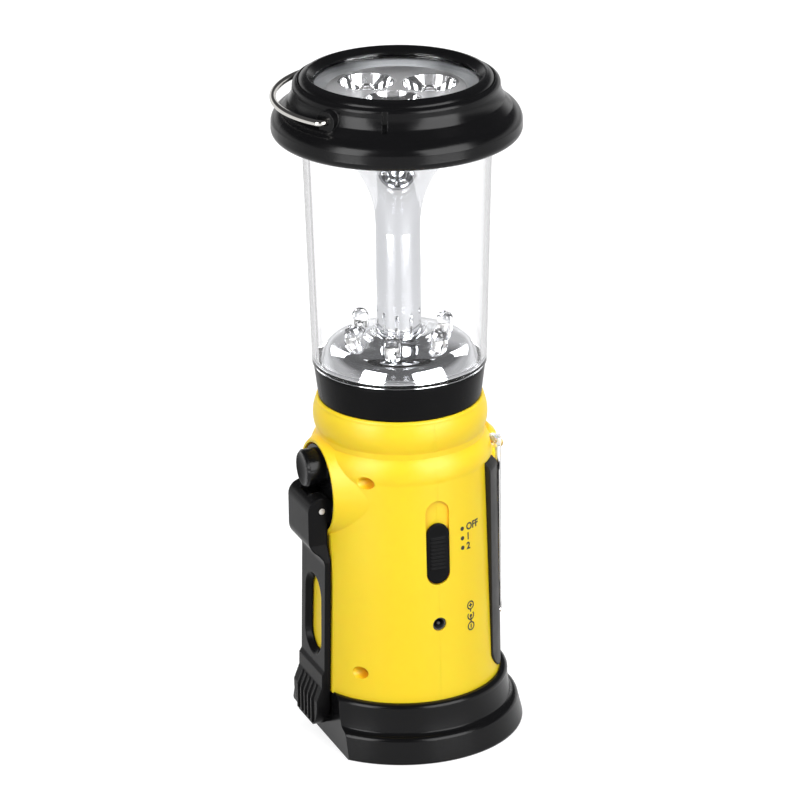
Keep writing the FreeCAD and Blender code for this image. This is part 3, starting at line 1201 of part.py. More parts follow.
# Crank: shaft, disc with a dished hub and a hinge lug, and the flat folding arm.
rotor_front = d.rotor_back + d.rotor_thickness
pin_z = d.crank_z - d.pin_drop
hub_z = d.crank_z + d.hub_offset
shaft_bore_depth = 1.8
finish("crank_shaft", rod("CrankShaft", d.shaft_radius, d.rotor_back + shaft_bore_depth - plate_reach_low + 0.4,
                          (-d.rotor_back - shaft_bore_depth, 0, d.crank_z), TURN_TO_X))
rotor_disc = along_x("RotorDisc", d.rotor_radius, d.rotor_back, rotor_front, 0, d.crank_z)
rotor_lip = cut("RotorLip", along_x("LipOuter", d.rotor_radius, rotor_front - 0.1, rotor_front + 0.9, 0, d.crank_z),
                along_x("LipInner", d.rotor_radius - 1.3, rotor_front - 1, rotor_front + 2, 0, d.crank_z))
hub_edge = 0.7
hub_low = along_x("HubLow", d.hub_radius, rotor_front - 0.2, d.hub_reach - hub_edge, 0, hub_z)
hub_high = taper("HubHigh", d.hub_radius, d.hub_radius - hub_edge, hub_edge, (-(d.hub_reach - hub_edge), 0, hub_z),
                 TURN_TO_MINUS_X)
hub_dish = ball("HubDish", 11.5, (-(d.hub_reach + 10.3), 0, hub_z))
lug_radius = 2.6
lug_round = rod("LugRound", lug_radius, 2 * d.lug_half_width, (-d.pin_reach, -d.lug_half_width, pin_z), TURN_TO_Y)
lug_foot = box("LugFoot", (d.pin_reach - rotor_front + 2.2, 2 * d.lug_half_width, 3.6),
               (-d.pin_reach, -d.lug_half_width, pin_z - 1.8))
pocket = rod("KnucklePocket", d.knuckle_radius + 0.4, 2 * d.arm_head_half_width + 1.2,
             (-d.pin_reach, -d.arm_head_half_width - 0.6, pin_z), TURN_TO_Y)
rotor_solid = cut("RotorPocketed", fuse("RotorForm", rotor_disc, rotor_lip, hub_low, hub_high), pocket)
finish("crank_rotor", cut("CrankRotor", fuse("RotorWithLug", rotor_solid, lug_round, lug_foot),
                          rod("LugBore", d.pin_radius + d.pin_gap, 20, (-d.pin_reach, -10, pin_z), TURN_TO_Y),
                          rod("ShaftBore", d.shaft_radius + 0.02, shaft_bore_depth + 1,
                              (-d.rotor_back - shaft_bore_depth - 0.02, 0, d.crank_z), TURN_TO_X),
                          hub_dish))

head_reach = d.pin_reach + d.knuckle_radius
arm_end_z = d.crank_z - d.arm_reach
flat_start_z = d.crank_z - 20.4
lean_end_back = d.arm_back + d.arm_lean
head_low_z = pin_z - 9.4
rim_pass_reach = d.rim_reach + 0.35
knuckle = d.knuckle_radius
head_back_offset = d.pin_reach - rotor_front - 1.3
arm_side = slab("ArmSide", "XZ_Plane", [
    (-head_reach, pin_z, -knuckle),
    (-head_reach, head_low_z),
    (-(head_reach - 2.3), head_low_z - 4.25, -5.1),
    (-(d.arm_back + d.arm_thickness + 0.1), head_low_z - 8.5, 5.1),
    (-(lean_end_back + d.arm_thickness - 0.3), arm_end_z + 20.0),
    (-(lean_end_back + d.arm_thickness + 0.5), arm_end_z + 18.8),
    (-(lean_end_back + d.arm_thickness + 0.6), arm_end_z + 14.6),
    (-(lean_end_back + d.arm_thickness + 2.4), arm_end_z + 10.0),
    (-(lean_end_back + d.arm_thickness + 2.4), arm_end_z + 1.2),
    (-(lean_end_back + d.arm_thickness + 1.2), arm_end_z),
    (-lean_end_back, arm_end_z),
    (-d.arm_back, flat_start_z),
    (-rim_pass_reach, flat_start_z + 4.4),
    (-rim_pass_reach, d.crank_z - 12.6),
    (-(d.pin_reach - head_back_offset), d.crank_z - 12.2),
    (-(d.pin_reach - head_back_offset), pin_z - root_of(knuckle * knuckle - head_back_offset * head_back_offset)),
    (-(d.pin_reach - knuckle), pin_z, -knuckle),
    (-d.pin_reach, pin_z + knuckle, -knuckle),
], 2 * d.arm_half_width + 4)
arm_end_radius = 8.4
arm_plan = slab("ArmPlan", "YZ_Plane", [
    (-d.arm_head_half_width, pin_z + knuckle + 1),
    (-d.arm_head_half_width, d.crank_z - 15.5),
    (-d.arm_half_width, flat_start_z - 0.5),
    (-d.arm_half_width, arm_end_z + arm_end_radius),
    (-d.arm_half_width + arm_end_radius, arm_end_z - 0.01, -arm_end_radius),
    (d.arm_half_width - arm_end_radius, arm_end_z - 0.01),
    (d.arm_half_width, arm_end_z + arm_end_radius, -arm_end_radius),
    (d.arm_half_width, flat_start_z - 0.5),
    (d.arm_head_half_width, d.crank_z - 15.5),
    (d.arm_head_half_width, pin_z + knuckle + 1),
], 90)
slot_half_width = d.lug_half_width + d.running_gap
lug_slot = box("LugSlot", (20, 2 * slot_half_width, 12),
               (-(d.pin_reach + 2.3), -slot_half_width, pin_z - 2.5))
lug_slot_round = rod("LugSlotRound", lug_radius + d.running_gap, 2 * slot_half_width,
                     (-d.pin_reach, -slot_half_width, pin_z), TURN_TO_Y)
rim_room = cut("RimRoom", along_x("RimRoomOuter", rim_radius + 1.4, 20, rim_pass_reach, 0, d.crank_z),
               along_x("RimRoomInner", d.rotor_radius + 0.2, 19, rim_pass_reach + 1, 0, d.crank_z))
arm_pin_hole = rod("ArmPinHole", d.pin_radius + 0.01, 40, (-d.pin_reach, -20, pin_z), TURN_TO_Y)
hole_half = d.finger_hole_width / 2
hole_straight = (d.finger_hole_length - d.finger_hole_width) / 2
dish_spread = 2.3
dish_depth = d.arm_thickness + 0.8
dish_back = d.arm_back + 0.3


def finger_dish():
    """The opening in the arm: round-ended, and wider towards the outside."""
    ends = []
    for name, z in (("Low", d.finger_hole_z - hole_straight), ("High", d.finger_hole_z + hole_straight)):
        ends.append(along_x("FingerHole" + name, hole_half, dish_back - 3, dish_back + 6, 0, z))
        ends.append(taper("FingerDish" + name, hole_half, hole_half + dish_spread, dish_depth, (-dish_back, 0, z),
                          TURN_TO_MINUS_X))
    ends.append(slab("FingerMiddle", "XY_Plane", [
        (-(dish_back - 3), -hole_half),
        (-(dish_back - 3), hole_half),
        (-dish_back, hole_half),
        (-(dish_back + dish_depth), hole_half + dish_spread),
        (-(dish_back + dish_depth), -(hole_half + dish_spread)),
        (-dish_back, -hole_half),
    ], 2 * hole_straight))
    place(ends[-1], (0, 0, d.finger_hole_z))
    return ends


def grip_rib(index):
    """One upright rib that follows the swelling end of the arm."""
    rib = slab(f"GripRib{index}", "XZ_Plane", [
        (-(lean_end_back + d.arm_thickness + 1.0), arm_end_z + 14.2),
        (-(lean_end_back + d.arm_thickness + 2.85), arm_end_z + 9.9),
        (-(lean_end_back + d.arm_thickness + 2.85), arm_end_z + 2.0),
        (-(lean_end_back + d.arm_thickness - 0.4), arm_end_z + 2.0),
        (-(lean_end_back + d.arm_thickness - 0.4), arm_end_z + 14.2),
    ], 1.0)
    place(rib, (0, -6.0 + 3.0 * index, 0))
    return rib


grip_ribs = [grip_rib(index) for index in range(5)]
arm_blank = cut("ArmBlank", common("ArmForm", arm_side, arm_plan), lug_slot, lug_slot_round, arm_pin_hole,
                rim_room, *finger_dish())
finish("crank_arm", fuse("CrankArm", arm_blank, *grip_ribs))
finish("hinge_pin", rod("HingePin", d.pin_radius, 2 * d.arm_head_half_width - 0.2,
                        (-d.pin_reach, -d.arm_head_half_width + 0.1, pin_z), TURN_TO_Y))

# Build, test every object and write each piece to its own file.
DOC.recompute()
for thing in DOC.Objects:
    if "Invalid" in thing.State or "Error" in thing.State:
        raise RuntimeError(f"{thing.Name} did not build: {thing.State}")
for thing in FINISHED:
    if thing.Shape.isNull() or not thing.Shape.isValid() or not thing.Shape.Solids:
        raise RuntimeError(f"{thing.Label} is not a sound solid")
os.makedirs("parts", exist_ok=True)
for thing in FINISHED:
    thing.Shape.exportStep(f"parts/{thing.Label}.step")
    print(thing.Label, len(thing.Shape.Solids), round(thing.Shape.Volume, 1))
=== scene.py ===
"""Looks of the emergency lantern radio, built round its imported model, in metres."""

import bmesh
import bpy
import math
import numpy as np
from mathutils import Matrix, Vector


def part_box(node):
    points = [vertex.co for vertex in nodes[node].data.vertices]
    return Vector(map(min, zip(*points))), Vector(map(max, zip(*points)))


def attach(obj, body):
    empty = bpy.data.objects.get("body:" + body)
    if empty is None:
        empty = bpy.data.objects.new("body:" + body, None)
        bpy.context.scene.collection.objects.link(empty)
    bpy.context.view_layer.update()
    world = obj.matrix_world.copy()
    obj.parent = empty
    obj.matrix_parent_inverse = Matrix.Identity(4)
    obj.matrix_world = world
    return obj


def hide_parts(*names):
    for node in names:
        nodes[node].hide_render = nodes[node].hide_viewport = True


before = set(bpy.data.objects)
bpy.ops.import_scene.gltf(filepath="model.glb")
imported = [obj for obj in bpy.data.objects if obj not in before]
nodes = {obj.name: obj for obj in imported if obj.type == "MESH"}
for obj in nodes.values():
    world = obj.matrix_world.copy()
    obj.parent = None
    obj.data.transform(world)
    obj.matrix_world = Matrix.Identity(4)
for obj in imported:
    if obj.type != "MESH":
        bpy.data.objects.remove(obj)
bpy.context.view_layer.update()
MM = 0.001

# Housing: two yellow ABS mouldings that meet on a seam through the switch slot, held by four long
# screws. The colour is in the plastic; the tool left a fine satin, glossier where hands rub it.


def node_in(tree, kind, **values):
    """Adds a shader node, sets its plain properties, and its sockets where the name is a socket's."""
    made = tree.nodes.new(kind)
    for key, value in values.items():
        if hasattr(made, key):
            setattr(made, key, value)
        else:
            made.inputs[key.replace("_", " ")].default_value = value
    return made


def moulded(name, deep, light, gloss, dull, grain=0.00002, edge=0.00025, patch=28.0, painted_shade=None, **extra):
    """Moulded plastic: colour drifts from deep to light over a few millimetres, the surface from gloss to
    dull with it, a fine tool grain, and edges that catch the light as a moulding's rounded edges do. Where
    a painted shade colour is given, the colour goes over to it in pits and gaps, by how much of the air
    round is covered: painted shade."""
    material = bpy.data.materials.new(name)
    material.use_nodes = True
    tree = material.node_tree
    shader = tree.nodes["Principled BSDF"]
    where = node_in(tree, "ShaderNodeTexCoord")
    drift = node_in(tree, "ShaderNodeTexNoise", Scale=patch, Detail=4.0, Roughness=0.55)
    tree.links.new(where.outputs["Object"], drift.inputs["Vector"])
    colour = node_in(tree, "ShaderNodeMix", data_type="RGBA")
    colour.inputs[6].default_value = (*deep, 1)
    colour.inputs[7].default_value = (*light, 1)
    tree.links.new(drift.outputs["Fac"], colour.inputs[0])
    shown = colour.outputs[2]
    # Painted shade: the colour darkens towards the given shade colour where ambient occlusion finds the air
    # round covered.
    if painted_shade is not None:
        shade_cover = node_in(tree, "ShaderNodeAmbientOcclusion", samples=8, only_local=True, Distance=0.004)
        pit_shade = node_in(tree, "ShaderNodeMix", data_type="RGBA")
        pit_shade.inputs[6].default_value = (*painted_shade, 1)
        tree.links.new(shade_cover.outputs["AO"], pit_shade.inputs[0])
        tree.links.new(shown, pit_shade.inputs[7])
        shown = pit_shade.outputs[2]
    tree.links.new(shown, shader.inputs["Base Color"])
    sheen = node_in(tree, "ShaderNodeMapRange")
    for socket, value in (("From Min", 0.3), ("From Max", 0.7), ("To Min", gloss), ("To Max", dull)):
        sheen.inputs[socket].default_value = value
    wear = node_in(tree, "ShaderNodeTexNoise", Scale=patch * 3.1, Detail=5.0, Roughness=0.6)
    tree.links.new(where.outputs["Object"], wear.inputs["Vector"])
    tree.links.new(wear.outputs["Fac"], sheen.inputs["Value"])
    tree.links.new(sheen.outputs["Result"], shader.inputs["Roughness"])
    rounding = node_in(tree, "ShaderNodeBevel", samples=6, Radius=edge)
    skin = node_in(tree, "ShaderNodeTexNoise", Scale=2600.0, Detail=2.0)
    tree.links.new(where.outputs["Object"], skin.inputs["Vector"])
    bump = node_in(tree, "ShaderNodeBump", Strength=1.0, Distance=grain)
    tree.links.new(skin.outputs["Fac"], bump.inputs["Height"])
    tree.links.new(rounding.outputs["Normal"], bump.inputs["Normal"])
    tree.links.new(bump.outputs["Normal"], shader.inputs["Normal"])
    for socket, value in extra.items():
        shader.inputs[socket.replace("_", " ")].default_value = value
    return material


def dress(material, *names):
    """Gives carried-over CAD nodes a material."""
    for name in names:
        mesh = nodes[name].data
        mesh.materials.clear()
        mesh.materials.append(material)


# The orange that the housing turns in its pits and gaps and beside the parts round it is painted shade.
yellow_abs = moulded("yellow_abs", (1.0, 0.66, 0.014), (1.0, 0.75, 0.024), 0.30, 0.42, edge=0.00018,
                     painted_shade=(0.96, 0.34, 0.006), Subsurface_Weight=0.15, Subsurface_Scale=0.004,
                     Specular_IOR_Level=0.35)
dress(yellow_abs, "rear_shell", "front_shell")

# Base: a flared foot ring, cut flat behind so that the crank's arm can pass, and a plate held under it by
# three screws. Both are black ABS, heavier in gloss than the housing.
black_abs = moulded("black_abs", (0.0035, 0.0035, 0.004), (0.006, 0.006, 0.0065), 0.15, 0.24,
                    grain=0.000008, edge=0.0004, Specular_IOR_Level=0.2)
dress(black_abs, "base_ring", "base_plate")

# Steel: four housing screws with their heads sunk in round recesses, three base screws, the crank's shaft
# and hinge pin, the idler's axle, and the cans of the generator and the speaker. All are plain steel, dull
# where it was rolled or turned.


def metal(name, colour, gloss, dull, scale=220.0, edge=0.00015):
    """Bare or plated metal: a tint, and a polish that varies between gloss and dull."""
    material = bpy.data.materials.new(name)
    material.use_nodes = True
    tree = material.node_tree
    shader = tree.nodes["Principled BSDF"]
    shader.inputs["Metallic"].default_value = 1.0
    where = node_in(tree, "ShaderNodeTexCoord")
    drift = node_in(tree, "ShaderNodeTexNoise", Scale=scale, Detail=4.0)
    tree.links.new(where.outputs["Object"], drift.inputs["Vector"])
    tone = node_in(tree, "ShaderNodeMix", data_type="RGBA")
    tone.inputs[6].default_value = (*[0.94 * part for part in colour], 1)
    tone.inputs[7].default_value = (*colour, 1)
    tree.links.new(drift.outputs["Fac"], tone.inputs[0])
    tree.links.new(tone.outputs[2], shader.inputs["Base Color"])
    polish = node_in(tree, "ShaderNodeMapRange")
    for socket, value in (("From Min", 0.3), ("From Max", 0.7), ("To Min", gloss), ("To Max", dull)):
        polish.inputs[socket].default_value = value
    tree.links.new(drift.outputs["Fac"], polish.inputs["Value"])
    tree.links.new(polish.outputs["Result"], shader.inputs["Roughness"])
    rounding = node_in(tree, "ShaderNodeBevel", samples=6, Radius=edge)
    tree.links.new(rounding.outputs["Normal"], shader.inputs["Normal"])
    return material


steel = metal("steel", (0.62, 0.61, 0.59), 0.22, 0.40)
dress(steel, "housing_screws", "base_screws", "crank_shaft", "idler_axle", "hinge_pin", "generator",
      "speaker")

# Collar: the black ring between the housing and the globe, which the globe's neck plugs into. It is moulded
# in a drier black than the head.
dry_black = moulded("dry_black", (0.0045, 0.0045, 0.005), (0.008, 0.008, 0.0085), 0.16, 0.28, grain=0.000015,
                    edge=0.0008, Specular_IOR_Level=0.07)
dress(dry_black, "collar_ring")

# Globe: a clear tube that opens a little towards the head, 1.6 mm of polished acrylic. Its neck plugs into
# the collar, and the head's floor closes its upper end.


def clear(name, tint, roughness, density):
    """Clear polished plastic with a faint tint, a trace of haze and a refraction of density."""
    material = bpy.data.materials.new(name)
    material.use_nodes = True
    tree = material.node_tree
    shader = tree.nodes["Principled BSDF"]
    shader.inputs["Transmission Weight"].default_value = 1.0
    shader.inputs["IOR"].default_value = density
    where = node_in(tree, "ShaderNodeTexCoord")
    haze = node_in(tree, "ShaderNodeTexNoise", Scale=60.0, Detail=3.0)
    tree.links.new(where.outputs["Object"], haze.inputs["Vector"])
    tone = node_in(tree, "ShaderNodeMix", data_type="RGBA")
    tone.inputs[6].default_value = (*[0.985 * part for part in tint], 1)
    tone.inputs[7].default_value = (*tint, 1)
    tree.links.new(haze.outputs["Fac"], tone.inputs[0])
    tree.links.new(tone.outputs[2], shader.inputs["Base Color"])
    rub = node_in(tree, "ShaderNodeMapRange")
    for socket, value in (("From Min", 0.35), ("From Max", 0.7), ("To Min", 0.0), ("To Max", roughness)):
        rub.inputs[socket].default_value = value
    tree.links.new(haze.outputs["Fac"], rub.inputs["Value"])
    tree.links.new(rub.outputs["Result"], shader.inputs["Roughness"])
    return material


clear_acrylic = clear("clear_acrylic", (0.992, 0.992, 0.997), 0.02, 1.3)
dress(clear_acrylic, "globe")

# Lantern light: a silvered dish with six clear 5 mm lamps that stand on legs over a white board, and a
# silvered column that opens like a trumpet. Dish and column are plastic with a thin bright metal coat.
silvered = metal("silvered", (0.80, 0.81, 0.83), 0.03, 0.06, scale=90.0)
LIP_Z = 0.1850


def masked_silver(name):
    """Silvered plastic up to the masking line, and bare black plastic above it, where the coat was kept off
    the lip that is glued to the head. The step is taken on the height."""
    material = metal(name, (0.80, 0.81, 0.83), 0.03, 0.06, scale=90.0)
    tree = material.node_tree
    shader = tree.nodes["Principled BSDF"]
    coat = shader.inputs["Base Color"].links[0].from_socket
    where = node_in(tree, "ShaderNodeTexCoord")
    height = node_in(tree, "ShaderNodeSeparateXYZ")
    tree.links.new(where.outputs["Object"], height.inputs[0])
    bare = node_in(tree, "ShaderNodeMapRange")
    bare.inputs["From Min"].default_value = LIP_Z
    bare.inputs["From Max"].default_value = LIP_Z + 0.0003
    tree.links.new(height.outputs["Z"], bare.inputs["Value"])
    tone = node_in(tree, "ShaderNodeMix", data_type="RGBA")
    tone.inputs[7].default_value = (0.006, 0.006, 0.0065, 1)
    tree.links.new(bare.outputs["Result"], tone.inputs[0])
    tree.links.new(coat, tone.inputs[6])
    tree.links.new(tone.outputs[2], shader.inputs["Base Color"])
    coated = node_in(tree, "ShaderNodeMath", operation="SUBTRACT")
    coated.inputs[0].default_value = 1.0
    tree.links.new(bare.outputs["Result"], coated.inputs[1])
    tree.links.new(coated.outputs[0], shader.inputs["Metallic"])
    return material


dress(masked_silver("trumpet_silver"), "trumpet_reflector")
lamp_resin = clear("lamp_resin", (0.99, 0.99, 1.0), 0.03, 1.5)
dress(lamp_resin, "lantern_leds", "torch_leds")
white_board = moulded("white_board", (0.66, 0.66, 0.64), (0.74, 0.74, 0.72), 0.35, 0.5)
dress(white_board, "lantern_board", "torch_board")


def put_mesh(name, points, faces, material):
    """Makes a piece of the lantern's fixed body from an array of points in metres and a list of faces."""
    mesh = bpy.data.meshes.new(name)
    mesh.from_pydata(points.reshape(-1, 3).tolist(), [], faces)
    mesh.update()
    mesh.materials.append(material)
    piece = bpy.data.objects.new(name, mesh)
    bpy.context.scene.collection.objects.link(piece)
    return piece


def square_wires(name, outlines, feet, material):
    """Flat-sided wires in millimetres. An outline is rows of height, middle, half width and half thickness;
    each row gives four corners at (middle +- half width, +- half thickness, height), the rows are joined by
    side faces and closed by two end faces, and every wire is repeated at each foot."""
    points = []
    faces = []
    start = 0
    across = np.array([-1, 1, 1, -1])
    along = np.array([-1, -1, 1, 1])
    for outline in outlines:
        height, middle, half, thick = np.array(outline).T[:, :, None]
        corner = np.stack([middle + half * across, thick * along, height + 0 * across], axis=-1)
        rows = len(outline)
        for foot in feet:
            points.append((corner + np.array(foot)).reshape(-1, 3))
            low = start + 4 * np.arange(rows - 1)[:, None]
            side = np.arange(4)
            after = (side + 1) % 4
            quads = np.stack([low + side, low + after, low + 4 + after, low + 4 + side], axis=-1)
            faces += quads.reshape(-1, 4).tolist()
            faces.append([start + 3, start + 2, start + 1, start])
            faces.append([start + 4 * (rows - 1) + corner_at for corner_at in range(4)])
            start += 4 * rows
    return put_mesh(name, np.concatenate(points) * MM, faces, material)


def round_feet(circle, turns, height):
    """Places on a circle round the axis, in millimetres, turns in degrees from +X: x is the circle's radius
    times the cosine of the turn, and y the radius times its sine."""
    angle = np.radians(turns)
    return np.stack([circle * np.cos(angle), circle * np.sin(angle), height + 0 * angle], axis=-1)


# Inside each lamp: two steel legs that end in a cupped anvil and a thin post, cast into the resin. Below the
# flange of a lantern lamp they run straight on down to the foot of the lamp.
LEG_SPREAD = 1.27
LEG_HALF = 0.31
LAMP_HEIGHT = 8.6
LAMP_CIRCLE = 15.0
LAMP_TURNS = 1 + 60.0 * np.arange(6)
anvil = [(0.0, -LEG_SPREAD, LEG_HALF, LEG_HALF), (1.3, -LEG_SPREAD, LEG_HALF, LEG_HALF),
         (1.9, -0.95, 0.42, 0.3), (3.0, -0.62, 0.86, 0.34), (4.5, -0.42, 1.05, 0.62),
         (4.9, -0.42, 0.95, 0.55), (4.6, -0.42, 0.5, 0.3)]
post = [(0.0, LEG_SPREAD, LEG_HALF, LEG_HALF), (1.3, LEG_SPREAD, LEG_HALF, LEG_HALF),
        (2.0, 1.1, 0.24, 0.2), (4.7, 1.02, 0.22, 0.18)]
lantern_low, lantern_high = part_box("lantern_leds")
flange_z = lantern_high[2] / MM - LAMP_HEIGHT
leg_foot = lantern_low[2] / MM - flange_z
leg_rows = [[(level, side_of * LEG_SPREAD, LEG_HALF, LEG_HALF) for level in (leg_foot, 0.0)]
            for side_of in (-1, 1)]
lantern_wires = square_wires("lantern_lamp_wires", [leg_rows[0] + anvil[1:], leg_rows[1] + post[1:]],
                             round_feet(LAMP_CIRCLE, LAMP_TURNS, flange_z), steel)
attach(lantern_wires, "lantern")


def turned_ring(name, section, material, steps=128):
    """A closed ring: a section of radius and height, in millimetres, carried once round the axis. At each
    angle x is the radius times its cosine, y the radius times its sine, and z the height."""
    radius, height = np.array(section, float).T
    angle = np.linspace(0, 2 * math.pi, steps, endpoint=False)[:, None]
    points = np.stack([radius * np.cos(angle), radius * np.sin(angle), height + 0 * angle], axis=-1)
    rows = len(section)
    step = np.arange(steps)[:, None]
    row = np.arange(rows)
    after = (row + 1) % rows
    further = (step + 1) % steps
    here, there = step * rows, further * rows
    quads = np.stack([here + row, there + row, there + after, here + after], axis=-1)
    return put_mesh(name, points * MM, quads.reshape(-1, 4).tolist(), material)


# The dish is a thin silvered moulding: a steep skirt that starts inside the collar, just within the globe's
# wall, rounds over to a shallow crown under the lamps, and steps up to the column's foot.
dish_top = [(24.4, 118.8), (24.35, 119.6), (23.7, 120.8), (22.9, 122.2), (22.1, 123.4), (21.1, 124.3),
            (19.8, 125.0), (18.0, 125.5), (16.0, 125.9), (13.5, 126.3), (11.4, 126.6), (10.7, 126.8),
            (10.4, 127.5), (9.9, 127.8), (8.4, 128.0), (6.4, 128.3)]
dish_under = [(radius - 0.5, height - 0.9) for radius, height in dish_top[:0:-1]] + [(23.7, 118.8)]
dish = turned_ring("silvered_dish", dish_top + dish_under, silvered)
dish.data.shade_smooth()
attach(dish, "lantern")
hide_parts("lantern_dish")

# Head: a black moulding with a bulged brim, a slim neck and a rounded rim. A black bezel ring in its bore
# holds the clear torch lens, over a silvered plate with a cup for each of the three torch lamps.
dress(black_abs, "head_ring", "lens_bezel")
dress(clear_acrylic, "torch_lens")
CUP_CIRCLE = 0.0108
CUP_MOUTH = 0.0086
CUP_TURNS = (3.0, 123.0, 243.0)
PLATE_RADIUS = 0.0208


def cupped_silver(name):
    """Silvered plastic, mirror bright in the three cups and satin on the plate round them. The satin is a
    step of the least distance from the cups' middles, measured across the lens. Past the plate's edge the
    colour goes over to grey, a step of the distance from the axis: painted shade under the bezel."""
    material = metal(name, (0.93, 0.93, 0.94), 0.03, 0.06, scale=120.0)
    tree = material.node_tree
    shader = tree.nodes["Principled BSDF"]
    coat = shader.inputs["Base Color"].links[0].from_socket
    where = node_in(tree, "ShaderNodeTexCoord")
    nearest = None
    for turn in CUP_TURNS:
        angle = math.radians(turn)
        flat = node_in(tree, "ShaderNodeVectorMath", operation="MULTIPLY")
        flat.inputs[1].default_value = (1, 1, 0)
        tree.links.new(where.outputs["Object"], flat.inputs[0])
        reach = node_in(tree, "ShaderNodeVectorMath", operation="DISTANCE")
        reach.inputs[1].default_value = (CUP_CIRCLE * math.cos(angle), CUP_CIRCLE * math.sin(angle), 0)
        tree.links.new(flat.outputs[0], reach.inputs[0])
        if nearest is None:
            nearest = reach.outputs["Value"]
        else:
            least = node_in(tree, "ShaderNodeMath", operation="MINIMUM")
            tree.links.new(nearest, least.inputs[0])
            tree.links.new(reach.outputs["Value"], least.inputs[1])
            nearest = least.outputs[0]
    satin = node_in(tree, "ShaderNodeMapRange", interpolation_type="SMOOTHSTEP")
    for socket, value in (("From Min", CUP_MOUTH - 0.0002), ("From Max", CUP_MOUTH + 0.0003),
                          ("To Min", 0.045), ("To Max", 0.30)):
        satin.inputs[socket].default_value = value
    tree.links.new(nearest, satin.inputs["Value"])
    tree.links.new(satin.outputs["Result"], shader.inputs["Roughness"])
    # Painted shade: the wall past the plate's edge, under the bezel, is greyed.
    off_axis = node_in(tree, "ShaderNodeVectorMath", operation="LENGTH")
    tree.links.new(flat.outputs[0], off_axis.inputs[0])
    wall = node_in(tree, "ShaderNodeMapRange", interpolation_type="SMOOTHSTEP")
    for socket, value in (("From Min", PLATE_RADIUS - 0.0005), ("From Max", PLATE_RADIUS + 0.0005)):
        wall.inputs[socket].default_value = value
    tree.links.new(off_axis.outputs["Value"], wall.inputs["Value"])
    bezel_shade = node_in(tree, "ShaderNodeMix", data_type="RGBA")
    bezel_shade.inputs[7].default_value = (0.33, 0.34, 0.35, 1)
    tree.links.new(wall.outputs["Result"], bezel_shade.inputs[0])
    tree.links.new(coat, bezel_shade.inputs[6])
    tree.links.new(bezel_shade.outputs[2], shader.inputs["Base Color"])
    return material


dress(cupped_silver("torch_silver"), "torch_reflector")
torch_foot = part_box("torch_leds")[0][2] / MM + 0.3
torch_wires = square_wires("torch_lamp_wires", [anvil, post],
                           round_feet(CUP_CIRCLE / MM, np.array(CUP_TURNS), torch_foot), steel)
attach(torch_wires, "lantern")

# Handle: a nickel plated spring wire, bent to half a circle with an elbow at each end. The ends turn in two
# bosses on the head's neck, and the wire lies on the brim.
plated_wire = metal("plated_wire", (0.80, 0.78, 0.74), 0.05, 0.10)
dress(plated_wire, "bail_wire")

# Crank: a glossy black disc with a dished hub and a hinge lug, and the flat folding arm in the drier black,
# on a steel pin through the lug. The arm has a round-ended finger hole that widens outwards.
dress(black_abs, "crank_rotor")
dress(dry_black, "crank_arm")

# Works that the housing hides: moulded nylon gears and their plate, a moulded tuning capacitor, switch body
# and charger socket, two green boards, the wrapped cells and the sintered ferrite rod.
nylon = moulded("nylon", (0.74, 0.73, 0.68), (0.82, 0.81, 0.77), 0.35, 0.5, Subsurface_Weight=0.2,
                Subsurface_Scale=0.002)
dress(nylon, "crank_gear", "idler_gear", "generator_pinion", "gearbox_plate")
component = moulded("component", (0.03, 0.03, 0.035), (0.06, 0.06, 0.065), 0.4, 0.55)
dress(component, "tuning_capacitor", "switch_body", "charger_jack")
green_board = moulded("green_board", (0.01, 0.09, 0.03), (0.02, 0.14, 0.05), 0.35, 0.5)
dress(green_board, "radio_board", "button_contact")
cell_wrap = moulded("cell_wrap", (0.08, 0.22, 0.12), (0.12, 0.30, 0.17), 0.25, 0.4)
dress(cell_wrap, "battery_cells")
ferrite = moulded("ferrite", (0.05, 0.045, 0.04), (0.09, 0.08, 0.07), 0.5, 0.7)
dress(ferrite, "ferrite_antenna")

# Radio panel: a raised black frame round three sides of the window, a knob and a band switch in the window,
# and a rubber button in the housing's shoulder. A curved clear cover hinges on two short pins beside the
# button.
panel_black = moulded("panel_black", (0.009, 0.0085, 0.008), (0.014, 0.013, 0.012), 0.34, 0.46,
                      grain=0.00003, edge=0.0005, Specular_IOR_Level=0.25)
dress(panel_black, "radio_fascia")
dress(black_abs, "tuning_knob", "band_switch")
dress(clear_acrylic, "clear_cover")
dress(nylon, "cover_pins")
rubber = moulded("rubber", (0.012, 0.012, 0.012), (0.03, 0.03, 0.03), 0.5, 0.7, grain=0.00004)
dress(rubber, "torch_button", "speaker_gasket")

# Slide switch: a ribbed black thumb in its recess, moulded in the drier black of the crank's arm. A stem
# through the slot and a block behind it drive the switch inside.
dress(dry_black, "slide_switch")

# Printing: black ink, pad printed on the housing beside the switch and the charger socket, and round the
# tuning knob. Numbers and plain signs only.
INK = 0.03
LIFT = 0.012


def housing_radius(height):
    """Radius of the housing's slightly tapered wall at a height, both in millimetres: 29.8 at 17.1 high, and
    less by 2.1 for every 70.9 above that."""
    return 29.8 - 2.1 * (height - 17.1) / 70.9


def window_radius(height):
    """Radius of the face under the clear cover, the same at every height, in millimetres."""
    return 25.8 + 0 * height


def wrap(flat, turn, height, radius):
    """Lays flat points (right, up, out; millimetres) on the wall: the angle is turn plus right over the
    radius, the height is height plus up, and the reach is the radius plus out."""
    up = height + flat[:, 1]
    wall = radius(up)
    angle = math.radians(turn) + flat[:, 0] / wall
    reach = wall + flat[:, 2]
    return np.stack([reach * np.cos(angle), reach * np.sin(angle), up], axis=-1)


